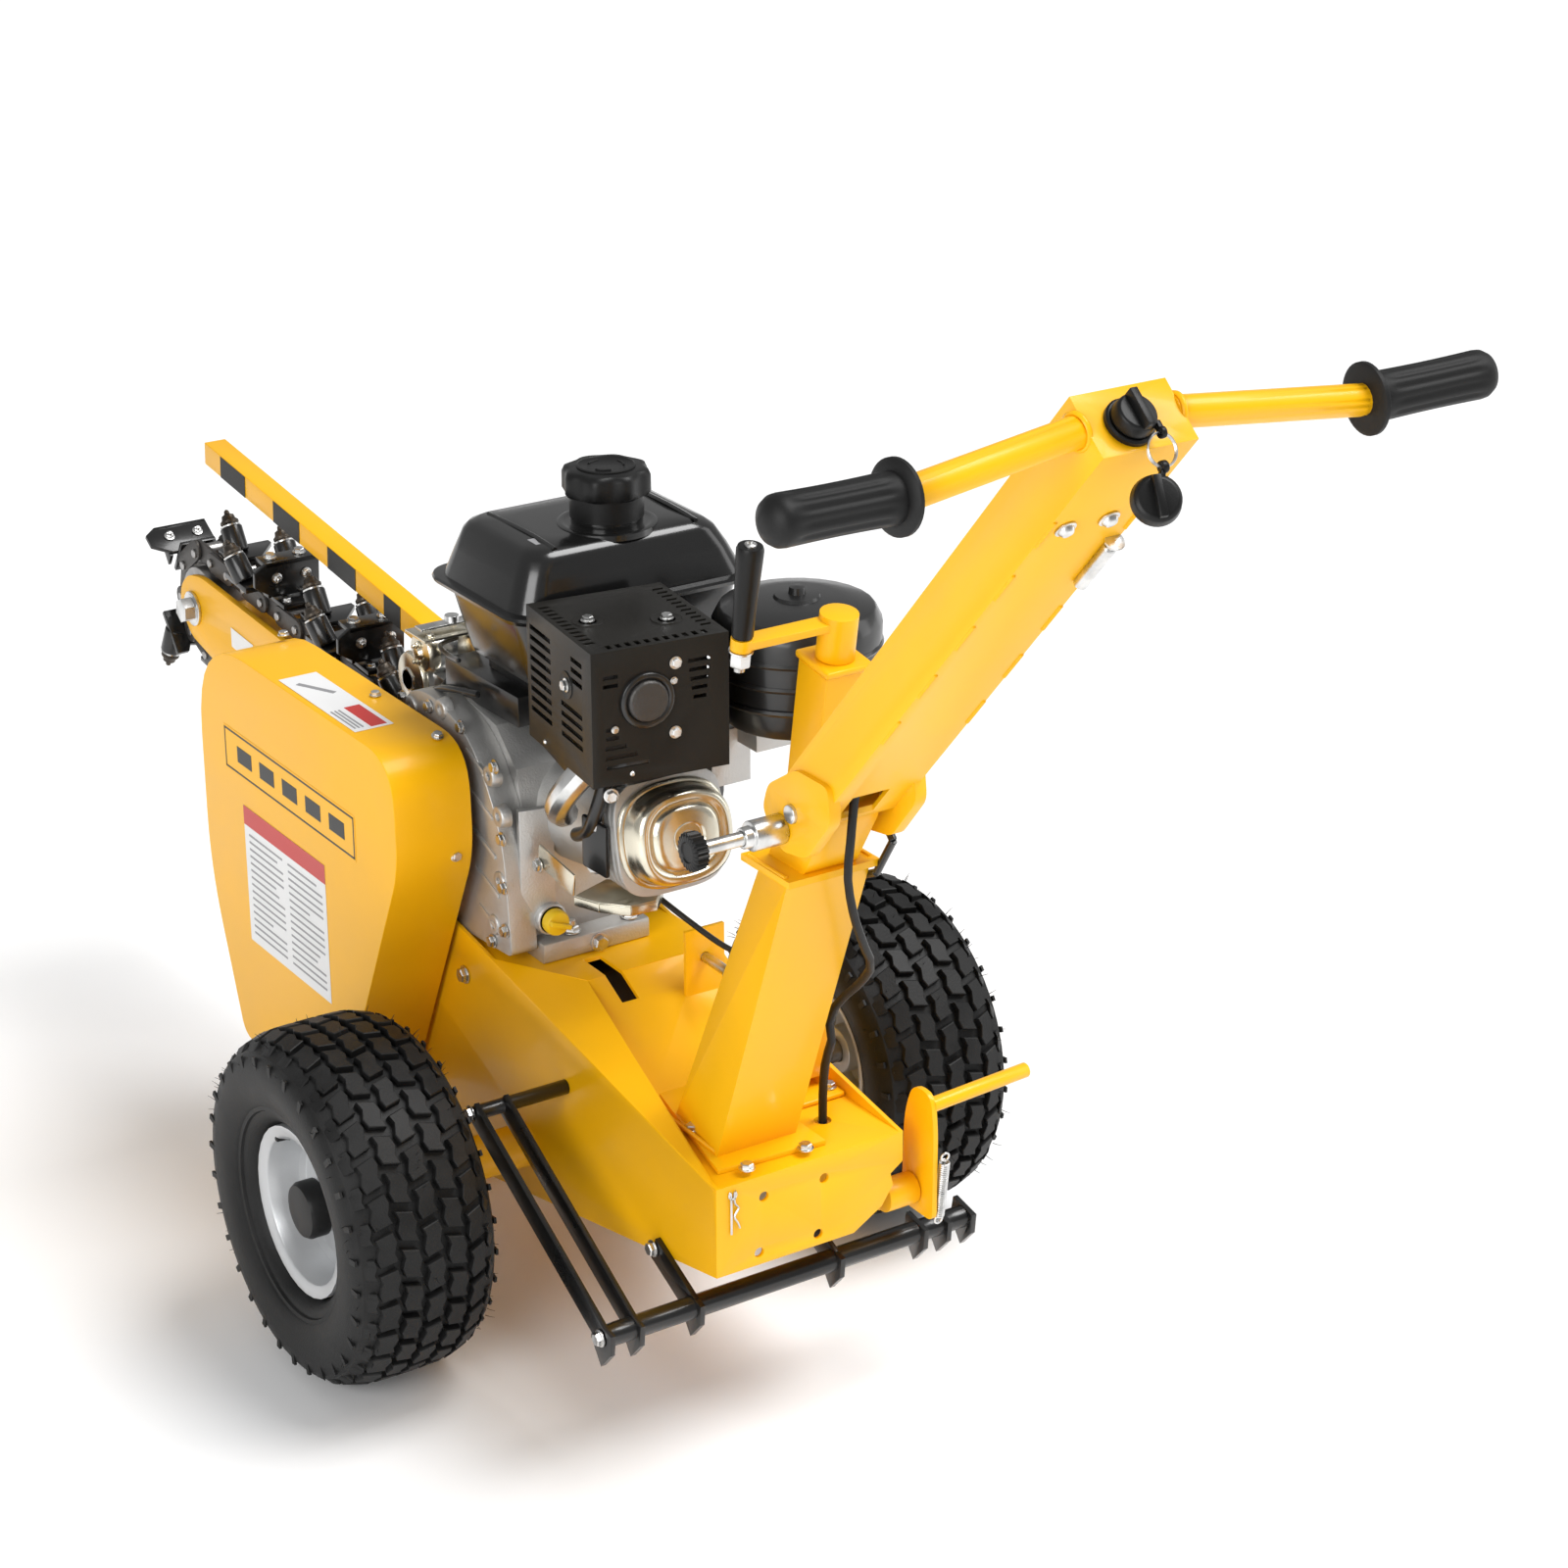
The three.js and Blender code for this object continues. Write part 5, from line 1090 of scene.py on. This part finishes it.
def small_hardware():
    zinc = Piece()
    for x, y in ((-324, 60), (-322, -2), (-238, 62), (-238, 0)):
        zinc.bolt(vec(x, y, 278.5), (0, 0, 1), 6.5)
    for x, y in ((-238, -84), (-176, -84), (-238, -38)):
        zinc.bolt(vec(x, y, 278.6), (0, 0, 1), 6)
    clip(zinc, vec(-335.5, 82, 264), (0, 0, -1), (0, 1, 0))
    for x, y, z, way in ((-77, 196, 262, 1), (-238, 104, 172, 1), (-300, 196, 142, 1),
            (-236, -51, 172, -1)):
        zinc.bolt(vec(x, y, z), (0, way, 0), 7)
    zinc.bolt(vec(-314, -141, 200), (0, -1, 0), 8)
    clip(zinc, vec(-314, -138, 194), (0, 0, -1), (1, 0, 0), 26)
    for x in (110, 200):
        zinc.bolt(vec(x, 98.4, 300), (0, 1, 0), 8)
    zinc.done("frame_bolts", "machine", "zinc", "zinc", angle=30)
    seam = Piece()
    for x, z, ax in ((430, 548.5, (0, 0, 1)), (233, 548.5, (0, 0, 1)), (110, 548, (-0.35, 0, 1))):
        seam.bolt(vec(x, 118, z), ax, 5)
    seam.bolt(vec(79, 120, 440), (-1, 0, 0), 5)
    seam.done("guard_seam_bolts", "machine", "zinc", "zinc", angle=30)
    strap = Piece()
    for a, b in (((-387, 606), (-414, 624)), ((-414, 624), (-429, 608)), ((-429, 608), (-406, 571)),
            ((-406, 571), (-390, 563))):
        p, q = vec(a[0], -16, a[1]), vec(b[0], -16, b[1])
        strap.rod(p, q, 3.6, 10, 0.6)
    strap.done("lock_strap", "machine", "black", "black_paint", angle=40)
    stem = Piece()
    stem.rod(vec(-404, 30, 632), vec(-404, 158, 632), 6, 24, 0.8)
    stem.done("lock_pin_stem", "pin", "zinc", "steel", 0, ("lock_pin",))
    knob = Piece()
    knob_at = vec(-404, 154, 632)
    rings = []
    for d, r, wave in ((0, 12, 0), (1, 15.2, 0.8), (11.5, 15.4, 1.1), (12.6, 13.6, 0.4), (13, 9, 0),
            (12, 8, 0)):
        rings.append([knob_at + vec(p, d, q) for p, q in lobed(r, wave, 22, 176)])
    knob.loft(rings)
    knob.done("lock_pin_knob", "pin", "plastic", "steel")


GUARD_FACE = 183  # the belt guard's outer face
GUARD_TOP = 549


def labels():
    """Plain printed panels with no lettering: bars stand for the lines of text."""
    white, bars, red, badge = Piece(), Piece(), Piece(), Piece()

    def on_face(piece, x0, x1, z0, z1, lift, thick=0.25):
        piece.slab(vec((x0 + x1) / 2, GUARD_FACE + lift, (z0 + z1) / 2), (1, 0, 0), (0, 0, 1),
                (abs(x1 - x0), abs(z1 - z0)), thick)

    on_face(white, 228, 406, 243, 390, 0.25)
    on_face(red, 228, 406, 370, 390, 0.45)
    for column in (0, 1):
        x0 = 236 + 86 * column
        for row in range(15):
            length = 74 - 12 * ((row * 7 + column * 3) % 5 == 0) - 18 * (row % 6 == 5)
            z = 361 - 7.6 * row
            on_face(bars, x0 + 74 - length, x0 + 74, z - 1.1, z + 1.1, 0.45)
    on_face(badge, 158, 442, 419, 466, 0.25)
    white.slab(vec(240, 157, 548.6), (1, 0, 0), (0, 1, 0), (160, 40), 0.5)
    red.slab(vec(192, 150, 548.9), (1, 0, 0), (0, 1, 0), (56, 16), 0.6)
    for row in range(3):
        bars.slab(vec(192, 165 + 4 * row, GUARD_TOP), (1, 0, 0), (0, 1, 0), (50, 1.6), 0.6)
    bars.slab(vec(280, 157, GUARD_TOP), (1, 0.5, 0), (-0.5, 1, 0), (44, 5), 0.6)
    white.done("labels_white", "machine", "white", "black_plastic")
    bars.done("labels_bars", "machine", "grey", "black_plastic")
    red.done("labels_red", "machine", "red", "black_plastic")
    frame_line = Piece()
    for x0, x1, z0, z1 in ((160, 440, 421, 423), (160, 440, 462, 464), (160, 162, 421, 464),
            (438, 440, 421, 464)):
        on_face(frame_line, x0, x1, z0, z1, 0.45)
    for k in range(5):
        on_face(frame_line, 180 + 50 * k, 212 + 50 * k, 434, 451, 0.45)
    badge.done("badge_ground", "machine", "yellow", "yellow_plastic")
    frame_line.done("badge_blocks", "machine", "ink", "black_plastic")
    boom_label = Piece()
    boom_label.slab(vec(718, 33.4, 430), (1, 0, 0.07), (0, 0, 1), (54, 22), 0.5)
    boom_label.done("boom_label", "boom", "white", "black_plastic")


def cable():
    skin = refine("battery_cable", "rubber", 0, angle=80, free=True)
    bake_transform(skin)


for wheel_side, wheel_sign in (("left", 1), ("right", -1)):
    wheel(wheel_side, wheel_sign)
    grip(wheel_side, wheel_sign)
column_trim()
switch()
fuel_tank()
muffler_guard()
cylinder_head()
engine_trim()
chain_links()
cutters()
teeth()
safety_bar()
crank_parts()
springs()
small_hardware()
labels()
cable()
